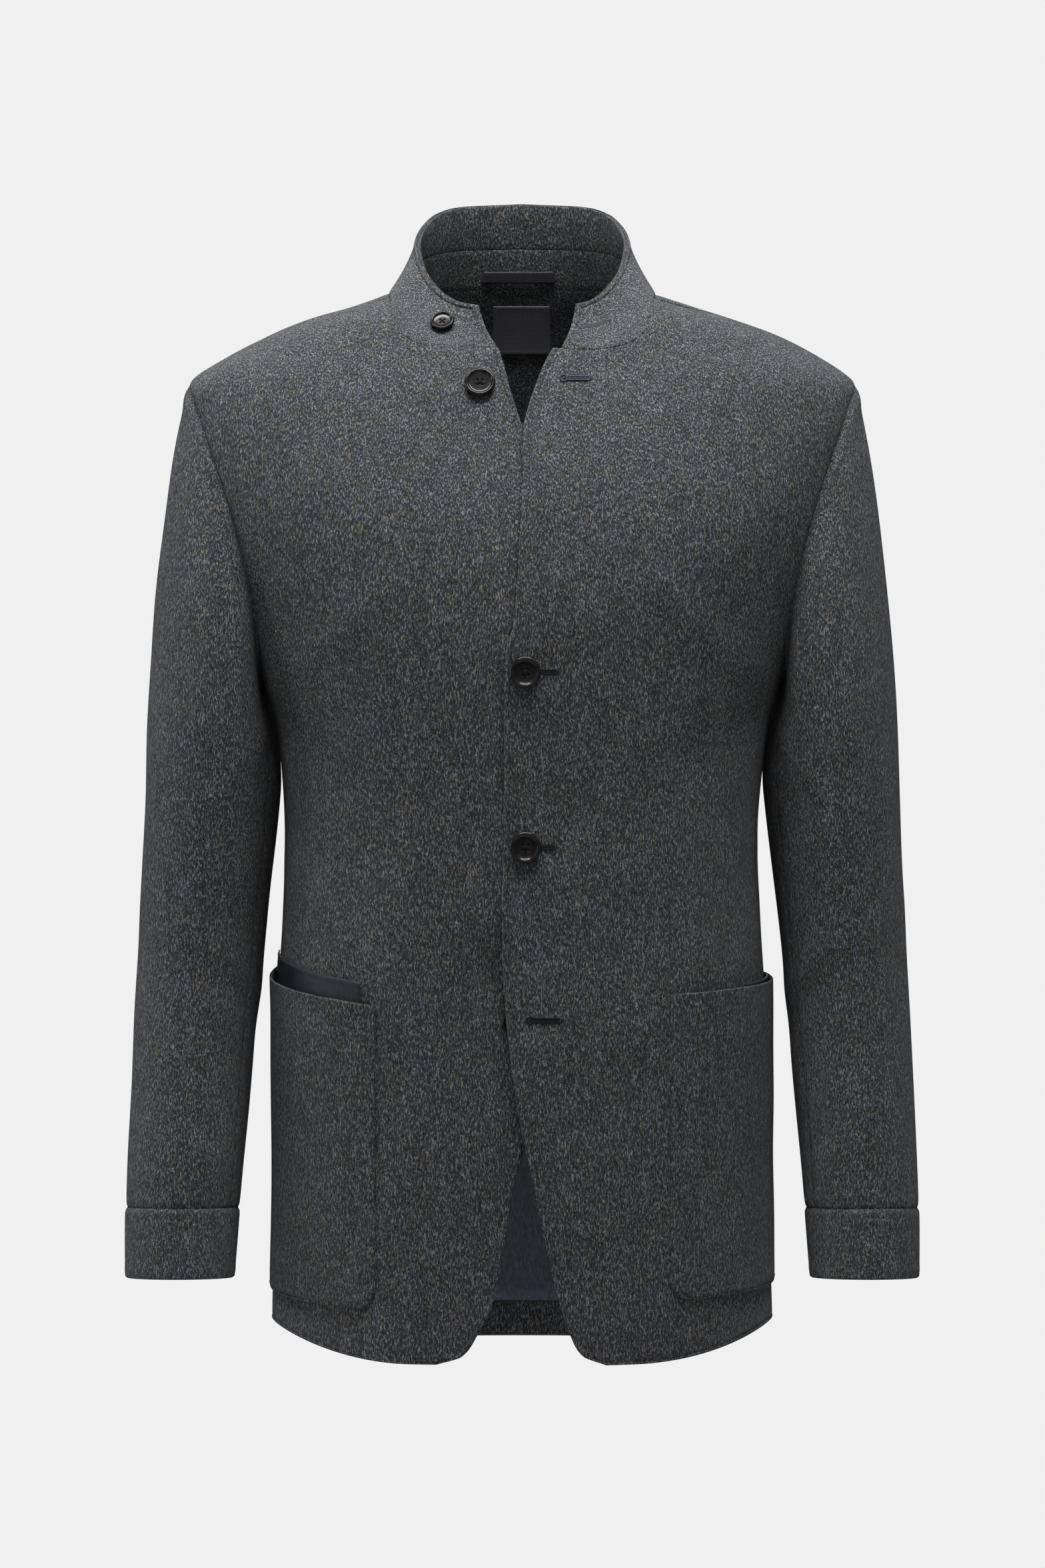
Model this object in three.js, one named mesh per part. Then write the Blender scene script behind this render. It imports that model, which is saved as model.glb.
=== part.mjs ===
import * as THREE from 'three';

// A mao jacket filled out with no wearer: stand collar open in a V, left front lapped over right,
// two-piece sleeves with cuff bands, patch pockets with slanted mouths.
// Millimetres. +X is the wearer's left, -Y the front, +Z up. The origin is the centre of the neck hole
// at the height of the high points of the shoulders.

// Driving dimensions.
const CLOTH_WALL = 2;
const LINING_WALL = 1;
const SEAM_GAP = 0.3;
const BODY_SQUARENESS = 2.3;
const SIDE_HEM_ANGLE = 118;
const SIDE_UNDERARM_ANGLE = 102;
const HEM_FRONT = -726;
const HEM_SIDE = -706;
const HEM_BACK = -733;
const UNDERARM = -266;
const YOKE_LEVEL = -285;
const YOKE_SIDE_SHARE = 0.07;
const NECK_SHARE = 0.42;
const PANEL_WIDTH = 190;
const SHOULDER_POINT = { phi: 88, z: -61.5 };
const NECK_SIDE = { phi: 58.4, z: -5 };
const RIGHT_FRONT_SINK = 2.9;
const LAP_TOP = -62;
const BUTTON_ROOM = 4.4;
const CHEST_CENTRE = -130;
const SHOULDER_CENTRE = -85;
const BODY_TOP = 13;
const SLEEVE_TILT = 0.06;
const CUFF_TOP = -629;
const CUFF_BOTTOM = -676;
const ARMHOLE_GAP = 1;
const UNDERARM_CLEARANCE = 1.8;

// The body form by level: half width at the side, depth in front of and behind the shoulder line.
const BODY = [
  { z: -740, half: 172.8, front: 131, back: 127 },
  { z: -690, half: 172, front: 130, back: 127 },
  { z: -600, half: 170.5, front: 128, back: 124 },
  { z: -520, half: 170, front: 125, back: 118 },
  { z: -470, half: 168, front: 123, back: 112 },
  { z: -430, half: 165, front: 121, back: 107 },
  { z: -385, half: 163, front: 120, back: 104 },
  { z: -345, half: 164.5, front: 120, back: 104 },
  { z: -304, half: 169.6, front: 121, back: 107 },
  { z: -266, half: 179.5, front: 122, back: 111 },
  { z: -230, half: 191, front: 122, back: 115 },
  { z: -190, half: 206, front: 119, back: 117 },
  { z: -150, half: 219, front: 112, back: 116 },
  { z: -110, half: 229, front: 100, back: 111 },
  { z: -80, half: 232.5, front: 89, back: 104 },
  { z: -61.5, half: 229.5, front: 81, back: 98 },
  { z: -45, half: 206.5, front: 74, back: 92 },
  { z: -30, half: 178, front: 69, back: 86 },
  { z: -18, half: 146, front: 65, back: 81 },
  { z: -9, half: 116, front: 62, back: 77 },
  { z: 0, half: 92, front: 59, back: 73 },
  { z: 13, half: 80, front: 54, back: 68 },
];

// The free edge of each front, measured toward its own side from the centre line.
const LEFT_EDGE = [
  { z: -726, x: 56 },
  { z: -720, x: 41 },
  { z: -706, x: 32.3 },
  { z: -687, x: 25.6 },
  { z: -662, x: 19 },
  { z: -620, x: 10.5 },
  { z: -572, x: 0 },
  { z: -530, x: -7 },
  { z: -483, x: -11.8 },
  { z: -438, x: -13.6 },
  { z: -349, x: -12.2 },
  { z: -254, x: -11.3 },
  { z: -229, x: -5.5 },
  { z: -127, x: 0.4 },
  { z: -100, x: 0.6 },
  { z: -82, x: 4.7 },
  { z: -56, x: 14 },
  { z: -43, x: 20.6 },
];
const RIGHT_EDGE = [
  { z: -726, x: 58 },
  { z: -721, x: 41.8 },
  { z: -706, x: 30.6 },
  { z: -685, x: 20 },
  { z: -647, x: 12.3 },
  { z: -606, x: 5.6 },
  { z: -588, x: 0.5 },
  { z: -530, x: -9 },
  { z: -438, x: -13 },
  { z: -229, x: -12 },
  { z: -127, x: -5 },
  { z: -97, x: 0.2 },
  { z: -73, x: 7.8 },
  { z: -56, x: 12.2 },
  { z: -43, x: 16.2 },
];

const FRONT_EDGE = { left: LEFT_EDGE, right: RIGHT_EDGE };

// The neck seam from the centre back to the front: across from the centre line, and up.
const NECK_BACK = [
  { x: 0, z: 12.3 },
  { x: 25, z: 12.1 },
  { x: 50, z: 11 },
  { x: 68, z: 8.5 },
  { x: 80, z: 5 },
  { x: 88, z: 1.8 },
];
const NECK_FRONT = [
  { x: 90, z: -11 },
  { x: 87, z: -21 },
  { x: 82, z: -31 },
  { x: 72, z: -38.5 },
  { x: 52, z: -43 },
];

// The armhole from the underarm to the shoulder point, by angle round the body form.
const ARMHOLE_FRONT = [
  { phi: 102, z: -266 },
  { phi: 90, z: -262 },
  { phi: 79, z: -251 },
  { phi: 71.5, z: -232 },
  { phi: 67, z: -205 },
  { phi: 64.5, z: -165 },
  { phi: 66, z: -125 },
  { phi: 70.5, z: -92 },
  { phi: 78, z: -70 },
  SHOULDER_POINT,
];
const ARMHOLE_BACK = [
  { phi: 102, z: -266 },
  { phi: 107, z: -255 },
  { phi: 111.5, z: -230 },
  { phi: 114, z: -185 },
  { phi: 112.5, z: -140 },
  { phi: 108, z: -98 },
  { phi: 99.5, z: -71 },
  SHOULDER_POINT,
];

// Sleeve rings below the cap: centre out and back, and half width and half depth.
const SLEEVE = [
  { z: -345, x: 214.4, y: 4, wide: 46.7, deep: 72 },
  { z: -433, x: 220.7, y: 2, wide: 44, deep: 66 },
  { z: -506, x: 225.8, y: -6, wide: 42.1, deep: 60 },
  { z: -580, x: 230.6, y: -18, wide: 40.1, deep: 55 },
  { z: -629, x: 233, y: -26, wide: 38.8, deep: 51.5 },
  { z: -660, x: 234, y: -31, wide: 37.6, deep: 50.4 },
  { z: -676, x: 234.4, y: -33.5, wide: 36.6, deep: 49.6 },
];
const CAP_BOTTOM = SLEEVE[0].z;
const FORE_SEAM = 0.42;
const HIND_SEAM = 0.69;

// The top edge of the collar by turn from the centre back, on an oval of its own.
const COLLAR_TOP = [
  { turn: 0, z: 68 },
  { turn: 37, z: 64.6 },
  { turn: 56, z: 58 },
  { turn: 72, z: 48 },
  { turn: 86, z: 38.5 },
  { turn: 97, z: 31 },
  { turn: 117, z: 10 },
  { turn: 139, z: -7.6 },
  { turn: 158, z: -13.5 },
];
const COLLAR_OVAL = { side: 74.5, back: 56, front: 62 };
const COLLAR_FLARE = 1.4;
const COLLAR_END = {
  left: { setback: 6, topTurn: 149.5 },
  right: { setback: 0.4, topTurn: 156 },
};
const COLLAR_BAND_SHARE = 0.46;

// The patch pockets: heights of the mouth and the bottom at the front edge and at the body's side, and
// how far the mouth stands off.
const POCKETS = {
  left: { mouthFront: -480, mouthSide: -471, bottomFront: -684.5, bottomSide: -680, bow: 6, stripFrom: 62, stripAbove: 1 },
  right: {
    mouthFront: -487.5, mouthSide: -467.3, bottomFront: -691, bottomSide: -684.4, bow: 8.5, stripFrom: 37,
    stripAbove: 14,
  },
};
const POCKET_FRONT = 98.5;
const POCKET_CORNER = 13;
const POCKET_BACK_SETBACK = 1.5;
const POCKET_SEAT = 0.6;
const STRIP_BELOW = 7;
const STRIP_TO = 90;

const BUTTON_THICK = 3.4;
const BUTTON_WIDE = 21;
const COLLAR_BUTTON_WIDE = 16.5;
const BUTTON_SEAT = 0.6;
const COLLAR_BUTTON_SEAT = 0.9;
const COLLAR_BUTTON = { u: -0.86, v: 0.45 };
const BUTTONS = {
  top: { x: -28.5, z: -68.5 },
  chest: { x: 2, z: -264 },
  waist: { x: 2, z: -381 },
  lower: { x: -3.3, z: -498 },
};

const LOOP = { long: 55, middle: -2.5, wide: 8, thick: 0.8, above: 3, seat: 0.8, bow: 1.4 };
const LABEL = { left: -21, right: 20, top: 0, bottom: -33, thick: 0.5, seat: 0.9 };

const cloth = { color: 0x45464a, roughness: 0.95, metalness: 0 };
const satin = { color: 0x25272e, roughness: 0.4, metalness: 0 };
const ribbon = { color: 0x1c1d1e, roughness: 0.7, metalness: 0 };
const horn = { color: 0x2a2522, roughness: 0.3, metalness: 0 };

const jacket = new THREE.Group();

const radians = THREE.MathUtils.degToRad;
const degrees = THREE.MathUtils.radToDeg;
const mix = (a, b, share) => a + (b - a) * share;
const clamp01 = (value) => Math.min(1, Math.max(0, value));
const smoothstep = (value) => clamp01(value) ** 2 * (3 - 2 * clamp01(value));

// A smooth curve through a table's rows: cubic pieces whose slope at a row is that between its
// neighbours.
function curve(rows, key, column) {
  const last = rows.length - 1;
  const slope = (i) => {
    const a = rows[Math.max(0, i - 1)];
    const b = rows[Math.min(last, i + 1)];
    return (b[column] - a[column]) / (b[key] - a[key]);
  };
  return (at) => {
    let i = 0;
    while (i < last - 1 && (at - rows[i + 1][key]) * (rows[last][key] - rows[0][key]) > 0) i += 1;
    const span = rows[i + 1][key] - rows[i][key];
    const t = clamp01((at - rows[i][key]) / span);
    return (2 * t ** 3 - 3 * t ** 2 + 1) * rows[i][column]
      + (t ** 3 - 2 * t ** 2 + t) * span * slope(i)
      + (3 * t ** 2 - 2 * t ** 3) * rows[i + 1][column]
      + (t ** 3 - t ** 2) * span * slope(i + 1);
  };
}

const bodyHalf = curve(BODY, 'z', 'half');
const bodyFront = curve(BODY, 'z', 'front');
const bodyBack = curve(BODY, 'z', 'back');

// A point of the body form: phi is the angle from the centre front, and the section a superellipse.
function bodySection(phi, z) {
  const across = Math.sin(radians(phi));
  const along = Math.cos(radians(phi));
  const depth = along > 0 ? bodyFront(z) : bodyBack(z);
  return new THREE.Vector3(
    bodyHalf(z) * Math.sign(across) * Math.abs(across) ** (2 / BODY_SQUARENESS),
    -depth * Math.sign(along) * Math.abs(along) ** (2 / BODY_SQUARENESS),
    z,
  );
}

// The outward normal of the body form, from the section's gradient and its change with height.
function bodyNormal(phi, z) {
  const step = 0.5;
  const point = bodySection(phi, z);
  const rise = bodySection(phi, z + step).sub(bodySection(phi, z - step)).divideScalar(2 * step);
  const depth = point.y < 0 ? bodyFront(z) : bodyBack(z);
  const power = BODY_SQUARENESS - 1;
  const nx = Math.sign(point.x) * Math.abs(point.x / bodyHalf(z)) ** power / bodyHalf(z);
  const ny = Math.sign(point.y) * Math.abs(point.y / depth) ** power / depth;
  return new THREE.Vector3(nx, ny, -(nx * rise.x + ny * rise.y)).normalize();
}

// A point of the body form moved out by a distance. side is 1 for the wearer's left, -1 for the right.
function onBody(phi, z, out, side) {
  const point = bodySection(phi, z).addScaledVector(bodyNormal(phi, z), out);
  point.x *= side;
  return point;
}

// The angle at which the body form's front is a distance x from the centre line.
function angleAt(x, z) {
  const share = Math.min(1, Math.abs(x) / bodyHalf(z));
  return Math.sign(x) * degrees(Math.asin(share ** (BODY_SQUARENESS / 2)));
}

// A route over the body form through places given by angle and height, by its share of length.
function route(places) {
  const samples = 24;
  const numbered = places.map((place, i) => ({ i, phi: place.phi, z: place.z }));
  const phiAt = curve(numbered, 'i', 'phi');
  const zAt = curve(numbered, 'i', 'z');
  const table = [{ length: 0, i: 0 }];
  let previous = bodySection(places[0].phi, places[0].z);
  for (let k = 1; k <= samples * (places.length - 1); k += 1) {
    const i = k / samples;
    const point = bodySection(phiAt(i), zAt(i));
    table.push({ length: table[k - 1].length + point.distanceTo(previous), i });
    previous = point;
  }
  const total = table[table.length - 1].length;
  return (share) => {
    const wanted = clamp01(share) * total;
    let k = 1;
    while (k < table.length - 1 && table[k].length < wanted) k += 1;
    const part = (wanted - table[k - 1].length) / (table[k].length - table[k - 1].length);
    const i = mix(table[k - 1].i, table[k].i, clamp01(part));
    return { phi: phiAt(i), z: zAt(i) };
  };
}

// Two routes end to end as one, the first taking the given share.
function joined(first, second, share) {
  return (at) => (at <= share ? first(at / share) : second((at - share) / (1 - share)));
}

// A closed shell over a grid of columns and rows: place(i, j, depth) gives the point at a depth share
// of 0 outside and 1 inside. mirrored is true where the grid runs the other way round. Each cell is
// split along the shorter of its outer diagonals.
function shell(columns, rows, place, { wrap = false, mirrored = false } = {}) {
  const across = wrap ? columns : columns + 1;
  const points = [];
  for (const depth of [0, 1]) {
    for (let i = 0; i < across; i += 1) {
      for (let j = 0; j <= rows; j += 1) points.push(place(i, j, depth));
    }
  }
  const index = [];
  const vertex = (i, j, depth) => (depth * across + (i % across)) * (rows + 1) + j;
  const face = (a, b, c, d, turned = false) => {
    const cut = turned ? [a, b, d, b, c, d] : [a, b, c, a, c, d];
    index.push(...(mirrored ? cut.reverse() : cut));
  };
  const far = (a, b) => points[a].distanceTo(points[b]);
  for (let i = 0; i < columns; i += 1) {
    for (let j = 0; j < rows; j += 1) {
      const [a, b, c, d] = [vertex(i, j, 0), vertex(i + 1, j, 0), vertex(i + 1, j + 1, 0), vertex(i, j + 1, 0)];
      const turned = far(b, d) < far(a, c);
      const under = across * (rows + 1);
      face(a, b, c, d, turned);
      face(a + under, d + under, c + under, b + under, turned);
    }
    face(vertex(i, 0, 0), vertex(i, 0, 1), vertex(i + 1, 0, 1), vertex(i + 1, 0, 0));
    face(vertex(i, rows, 0), vertex(i + 1, rows, 0), vertex(i + 1, rows, 1), vertex(i, rows, 1));
  }
  if (!wrap) {
    for (let j = 0; j < rows; j += 1) {
      face(vertex(0, j, 0), vertex(0, j + 1, 0), vertex(0, j + 1, 1), vertex(0, j, 1));
      face(vertex(columns, j, 0), vertex(columns, j, 1), vertex(columns, j + 1, 1), vertex(columns, j + 1, 0));
    }
  }
  const geometry = new THREE.BufferGeometry().setFromPoints(points);
  geometry.setIndex(index);
  geometry.computeVertexNormals();
  return geometry;
}

function add(name, geometry, finish) {
  const mesh = new THREE.Mesh(geometry, new THREE.MeshStandardMaterial(finish));
  mesh.name = name;
  jacket.add(mesh);
  return mesh;
}

// The hem's height round the body: level in front, higher at the sides, lowest at the back.
function hemHeight(phi) {
  if (phi < 90) return mix(HEM_FRONT, HEM_SIDE, smoothstep((phi - 22) / 62));
  return mix(HEM_SIDE, HEM_BACK, smoothstep((phi - 90) / 80));
}

// The side seam's angle at a level.
function sideAngle(z) {
  const hem = hemHeight(SIDE_HEM_ANGLE);
  return mix(SIDE_HEM_ANGLE, SIDE_UNDERARM_ANGLE, (z - hem) / (UNDERARM - hem));
}

const yokeSide = (hole) => joined(
  route([{ phi: sideAngle(YOKE_LEVEL), z: YOKE_LEVEL }, { phi: SIDE_UNDERARM_ANGLE, z: UNDERARM }]),
  route(hole),
  YOKE_SIDE_SHARE,
);
const shoulderSeam = route([
  NECK_SIDE,
  { phi: 70, z: -16 },
  { phi: 79.5, z: -33 },
  { phi: 85, z: -50 },
  SHOULDER_POINT,
]);
const neckBack = route([
  ...NECK_BACK.map(({ x, z }) => ({ phi: 180 - angleAt(x, z), z })),
  { phi: 90, z: 1 },
  NECK_SIDE,
]);
const neckFrontTo = (corner) => route([
  { phi: angleAt(corner.x, corner.z), z: corner.z },
  ...[...NECK_FRONT].reverse().map(({ x, z }) => ({ phi: angleAt(x, z), z })),
  NECK_SIDE,
]);

// The place where the body form is met by the ray to a point from inside the chest, in the upright
// plane that keeps the point's distance from the centre line.
function settle(point) {
  const x = Math.abs(point.x);
  const centre = mix(CHEST_CENTRE, SHOULDER_CENTRE, smoothstep((x - 150) / 80));
  const [rayY, rayZ] = [point.y, point.z - centre];
  const depthAt = (y, z) => (y < 0 ? bodyFront(z) : bodyBack(z));
  let [inside, outside] = [0, 4];
  for (let halving = 0; halving < 40; halving += 1) {
    const reach = (inside + outside) / 2;
    const [y, z] = [rayY * reach, centre + rayZ * reach];
    const filled = (x / bodyHalf(z)) ** BODY_SQUARENESS + Math.abs(y / depthAt(y, z)) ** BODY_SQUARENESS;
    if (filled < 1 && z < BODY_TOP) inside = reach;
    else outside = reach;
  }
  const [y, z] = [rayY * inside, centre + rayZ * inside];
  const half = BODY_SQUARENESS / 2;
  const phi = Math.atan2((x / bodyHalf(z)) ** half, -Math.sign(y) * Math.abs(y / depthAt(y, z)) ** half);
  return { phi: Math.sign(point.x) * degrees(phi), z };
}

// A panel's map from grid shares to the body form. Rows under the yoke level run from the free edge or
// centre to the side seam. Above it they blend the yoke line, neck and shoulder seam, edge and armhole,
// with the columns pushed out where they go round the neck's side.
const NECK_PUSH = 16;
const PUSH_CENTRE = 0.52;
const PUSH_WIDTH = 0.22;
function panelMap({ hemStart, startAt, cornerHeight, top, hole }) {
  const side = yokeSide(hole);
  const start = (t) => startAt(mix(YOKE_LEVEL, cornerHeight, t));
  const place = ({ phi, z }) => bodySection(phi, z);
  const yoke = (s) => ({ phi: mix(startAt(YOKE_LEVEL).phi, sideAngle(YOKE_LEVEL), s), z: YOKE_LEVEL });
  const low = (s, t) => {
    const first = t === 0 ? hemStart : startAt(mix(hemHeight(hemStart), YOKE_LEVEL, t)).phi;
    const level = mix(hemHeight(SIDE_HEM_ANGLE), YOKE_LEVEL, t);
    const phi = mix(first, sideAngle(level), s);
    return { phi, z: mix(hemHeight(phi), YOKE_LEVEL, t) };
  };
  const high = (s, t) => {
    const push = NECK_PUSH * Math.exp(-(((s - PUSH_CENTRE) / PUSH_WIDTH) ** 2)) * 6.75 * t ** 2 * (1 - t);
    const point = place(yoke(s)).multiplyScalar(1 - t)
      .addScaledVector(place(top(s)), t)
      .addScaledVector(place(start(t)), 1 - s)
      .addScaledVector(place(side(t)), s)
      .addScaledVector(place(yoke(0)), -(1 - s) * (1 - t))
      .addScaledVector(place(yoke(1)), -s * (1 - t))
      .addScaledVector(place(top(0)), -(1 - s) * t)
      .addScaledVector(place(top(1)), -s * t)
      .add(new THREE.Vector3(push, 0, 0));
    return settle(point);
  };
  return (s, t) => (t <= 1 ? low(s, t) : high(s, t - 1));
}

// The back, from the centre back (s = 0) to the side (s = 1).
const backMap = panelMap({
  hemStart: 180,
  startAt: (z) => ({ phi: 180, z }),
  cornerHeight: NECK_BACK[0].z,
  top: joined(neckBack, shoulderSeam, NECK_SHARE),
  hole: ARMHOLE_BACK,
});

// A front, from its free edge (s = 0) to the side (s = 1).
function frontMap(edge) {
  const edgeAt = curve(edge, 'z', 'x');
  const corner = edge[edge.length - 1];
  return panelMap({
    hemStart: angleAt(edge[0].x, edge[0].z),
    startAt: (z) => ({ phi: angleAt(edgeAt(z), z), z }),
    cornerHeight: corner.z,
    top: joined(neckFrontTo(corner), shoulderSeam, NECK_SHARE),
    hole: ARMHOLE_FRONT,
  });
}

// Grid shares: a column meets the neck's side point, and rows are closer at the hem's rounded corner.
function shares(count, breakAt, breakShare) {
  const list = [];
  for (let i = 0; i <= count; i += 1) {
    list.push(i <= breakAt ? breakShare * i / breakAt : mix(breakShare, 1, (i - breakAt) / (count - breakAt)));
  }
  return list;
}
const NECK_COLUMNS_FRONT = 6;
const NECK_COLUMNS_BACK = 4;
const frontColumns = shares(13, NECK_COLUMNS_FRONT, NECK_SHARE);
const backColumns = shares(10, NECK_COLUMNS_BACK, NECK_SHARE);
const LOW_ROWS = 12;
const ROW_CROWDING = 1.63;
const HIGH_ROWS = 10;
const ROW_COUNT = LOW_ROWS + HIGH_ROWS;
const panelRows = [
  ...Array.from({ length: LOW_ROWS }, (_, j) => (j / LOW_ROWS) ** ROW_CROWDING),
  1,
  ...shares(HIGH_ROWS, 1, YOKE_SIDE_SHARE).slice(1).map((share) => 1 + share),
];

// A share of a grid's width, pulled in at its far end above the yoke level, where the armhole is.
function trimmedColumn(share, t) {
  const gap = t > 1 ? ARMHOLE_GAP : SEAM_GAP / 2;
  return share * (1 - gap / PANEL_WIDTH);
}
const trimmedRow = (t) => Math.min(t, 2 - SEAM_GAP / 2 / (NECK_BACK[0].z - YOKE_LEVEL));

// How far the right front sinks under the left one: more below, where a button lies between them.
function rightSink(phi, z) {
  const reach = (1 - smoothstep((phi - 4) / 26)) * smoothstep((LAP_TOP - z) / 40);
  const room = BUTTON_ROOM * smoothstep((-425 - z) / 50);
  return -(RIGHT_FRONT_SINK + room) * reach;
}

function makeFront(name, edge, side, sink) {
  const map = frontMap(edge);
  const geometry = shell(frontColumns.length - 1, ROW_COUNT, (i, j, depth) => {
    const t = trimmedRow(panelRows[j]);
    const { phi, z } = map(trimmedColumn(frontColumns[i], t), t);
    return onBody(phi, z, sink(phi, z) - depth * CLOTH_WALL, side);
  }, { mirrored: side < 0 });
  add(name, geometry, cloth);
}

makeFront('front_left', LEFT_EDGE, 1, () => 0);
makeFront('front_right', RIGHT_EDGE, -1, rightSink);

// A piece of the whole back between two grid rows, out to a number of columns each side.
function backPiece(name, { reach, from, to, out, wall, finish }) {
  const seam = SEAM_GAP / 2 / (YOKE_LEVEL - HEM_BACK);
  const geometry = shell(2 * reach, to - from, (i, j, depth) => {
    const column = Math.abs(i - reach);
    const row = trimmedRow(panelRows[from + j]);
    const lift = j === 0 && from > 0 ? seam : 0;
    const drop = j === to - from && to < ROW_COUNT ? seam : 0;
    const t = row + lift - drop;
    const { phi, z } = backMap(trimmedColumn(backColumns[column], t), t);
    return onBody(phi, z, out - depth * wall, i < reach ? 1 : -1);
  });
  add(name, geometry, finish);
}

const HEM_ROWS = 2;
const FACING_ROW = 19;
const inside = -(CLOTH_WALL + SEAM_GAP);
const whole = backColumns.length - 1;
backPiece('back', { reach: whole, from: 0, to: ROW_COUNT, out: 0, wall: CLOTH_WALL, finish: cloth });
backPiece('back_lining', {
  reach: whole, from: HEM_ROWS, to: FACING_ROW, out: inside, wall: LINING_WALL, finish: satin,
});
backPiece('hem_facing', {
  reach: whole, from: 0, to: HEM_ROWS, out: inside, wall: CLOTH_WALL, finish: cloth,
});
backPiece('neck_facing', {
  reach: 3, from: FACING_ROW, to: ROW_COUNT, out: inside, wall: CLOTH_WALL, finish: cloth,
});

// A point of the armhole by turn: 0 at the shoulder point, a quarter at the front, a half underarm.
const armholeFront = route(ARMHOLE_FRONT);
const armholeBack = route(ARMHOLE_BACK);
function armhole(turn) {
  const w = ((turn % 1) + 1) % 1;
  return w <= 0.5 ? armholeFront(1 - 2 * w) : armholeBack(2 * w - 1);
}

const sleeveX = curve(SLEEVE, 'z', 'x');
const sleeveY = curve(SLEEVE, 'z', 'y');
const sleeveWide = curve(SLEEVE, 'z', 'wide');
const sleeveDeep = curve(SLEEVE, 'z', 'deep');

// A point of the sleeve's oval at a level: the ring tips up a little in front.
function sleeveRing(turn, z) {
  const angle = 2 * Math.PI * turn;
  const back = -sleeveDeep(z) * Math.sin(angle);
  return new THREE.Vector3(
    sleeveX(z) + sleeveWide(z) * Math.cos(angle),
    sleeveY(z) + back,
    z - SLEEVE_TILT * back,
  );
}

// A point of the sleeve by turn and height share: t = 0 at the armhole, 1 where the cap ends, and
// from there down by level.
function sleevePoint(turn, t, side = 1) {
  if (t >= 1) {
    const point = sleeveRing(turn, mix(CAP_BOTTOM, CUFF_TOP, t - 1));
    point.x *= side;
    return point;
  }
  const angle = 2 * Math.PI * turn;
  const place = armhole(turn);
  const under = (1 - Math.cos(angle)) / 2;
  const start = onBody(place.phi, place.z, UNDERARM_CLEARANCE * under ** 2, 1);
  const end = sleeveRing(turn, CAP_BOTTOM);
  const below = sleeveRing(turn, CAP_BOTTOM - 20).sub(end).normalize();
  const leave = new THREE.Vector3(0.05 + 0.17 * Math.cos(angle), -0.3 * Math.sin(angle), -0.95).normalize();
  const reach = start.distanceTo(end) / 3;
  const hull = [
    start,
    start.clone().addScaledVector(leave, reach),
    end.clone().addScaledVector(below, -reach),
    end,
  ];
  const point = new THREE.CubicBezierCurve3(...hull).getPoint(t);
  point.x *= side;
  return point;
}

// A sleeve point moved in from the cloth's outside by a distance.
function insideSleeve(turn, t, depth, side) {
  const du = 0.004;
  const dt = 0.01;
  const across = sleevePoint(turn + du, t).sub(sleevePoint(turn - du, t));
  const low = Math.max(0, t - dt);
  const along = sleevePoint(turn, t + dt).sub(sleevePoint(turn, low));
  const normal = along.cross(across).normalize();
  const point = sleevePoint(turn, t).addScaledVector(normal, depth);
  point.x *= side;
  return point;
}

const CAP_ROWS = 7;
const ARM_ROWS = 6;
const sleeveRow = (j) => (j <= CAP_ROWS ? (j / CAP_ROWS) ** 1.2 : 1 + (j - CAP_ROWS) / ARM_ROWS);

function sleevePiece(name, from, to, columns, side) {
  const seam = SEAM_GAP / 2 / 380;
  const lastRow = CAP_ROWS + ARM_ROWS;
  const cuffSeam = SEAM_GAP / 2 / (CAP_BOTTOM - CUFF_TOP);
  const geometry = shell(columns, lastRow, (i, j, depth) => {
    const turn = mix(from + seam, to - seam, i / columns);
    const t = sleeveRow(j) - (j === lastRow ? cuffSeam : 0);
    return insideSleeve(turn, t, depth * CLOTH_WALL, side);
  }, { mirrored: side < 0 });
  add(name, geometry, cloth);
}

function cuff(name, side) {
  const columns = 20;
  const rows = 3;
  const cuffSeam = SEAM_GAP / 2 / (CAP_BOTTOM - CUFF_TOP);
  const cuffShare = (CUFF_TOP - CUFF_BOTTOM) / (CAP_BOTTOM - CUFF_TOP);
  const geometry = shell(columns, rows, (i, j, depth) => {
    const t = 2 + mix(cuffSeam, cuffShare, j / rows);
    return insideSleeve(i / columns, t, depth * CLOTH_WALL, side);
  }, { wrap: true, mirrored: side < 0 });
  add(name, geometry, cloth);
}

for (const [word, side] of [['left', 1], ['right', -1]]) {
  sleevePiece(`sleeve_upper_${word}`, HIND_SEAM - 1, FORE_SEAM, 14, side);
  sleevePiece(`sleeve_under_${word}`, FORE_SEAM, HIND_SEAM, 6, side);
  cuff(`cuff_${word}`, side);
}

// The collar, by turn share u from the right front end (-1) over the centre back (0) to the left (1).
const collarTopZ = curve(COLLAR_TOP, 'turn', 'z');

// The neck seam from the centre back to a front corner, straight between the panels' columns.
function neckSeam(word) {
  const front = neckFrontTo(FRONT_EDGE[word][FRONT_EDGE[word].length - 1]);
  const places = [
    ...backColumns.slice(0, NECK_COLUMNS_BACK + 1).map((s) => neckBack(s / NECK_SHARE)),
    ...frontColumns.slice(0, NECK_COLUMNS_FRONT).reverse().map((s) => front(s / NECK_SHARE)),
  ];
  const seam = new THREE.CurvePath();
  const points = places.map(({ phi, z }) => bodySection(phi, z));
  for (let k = 1; k < points.length; k += 1) seam.add(new THREE.LineCurve3(points[k - 1], points[k]));
  return seam;
}
const neckHalf = { left: neckSeam('left'), right: neckSeam('right') };

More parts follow.
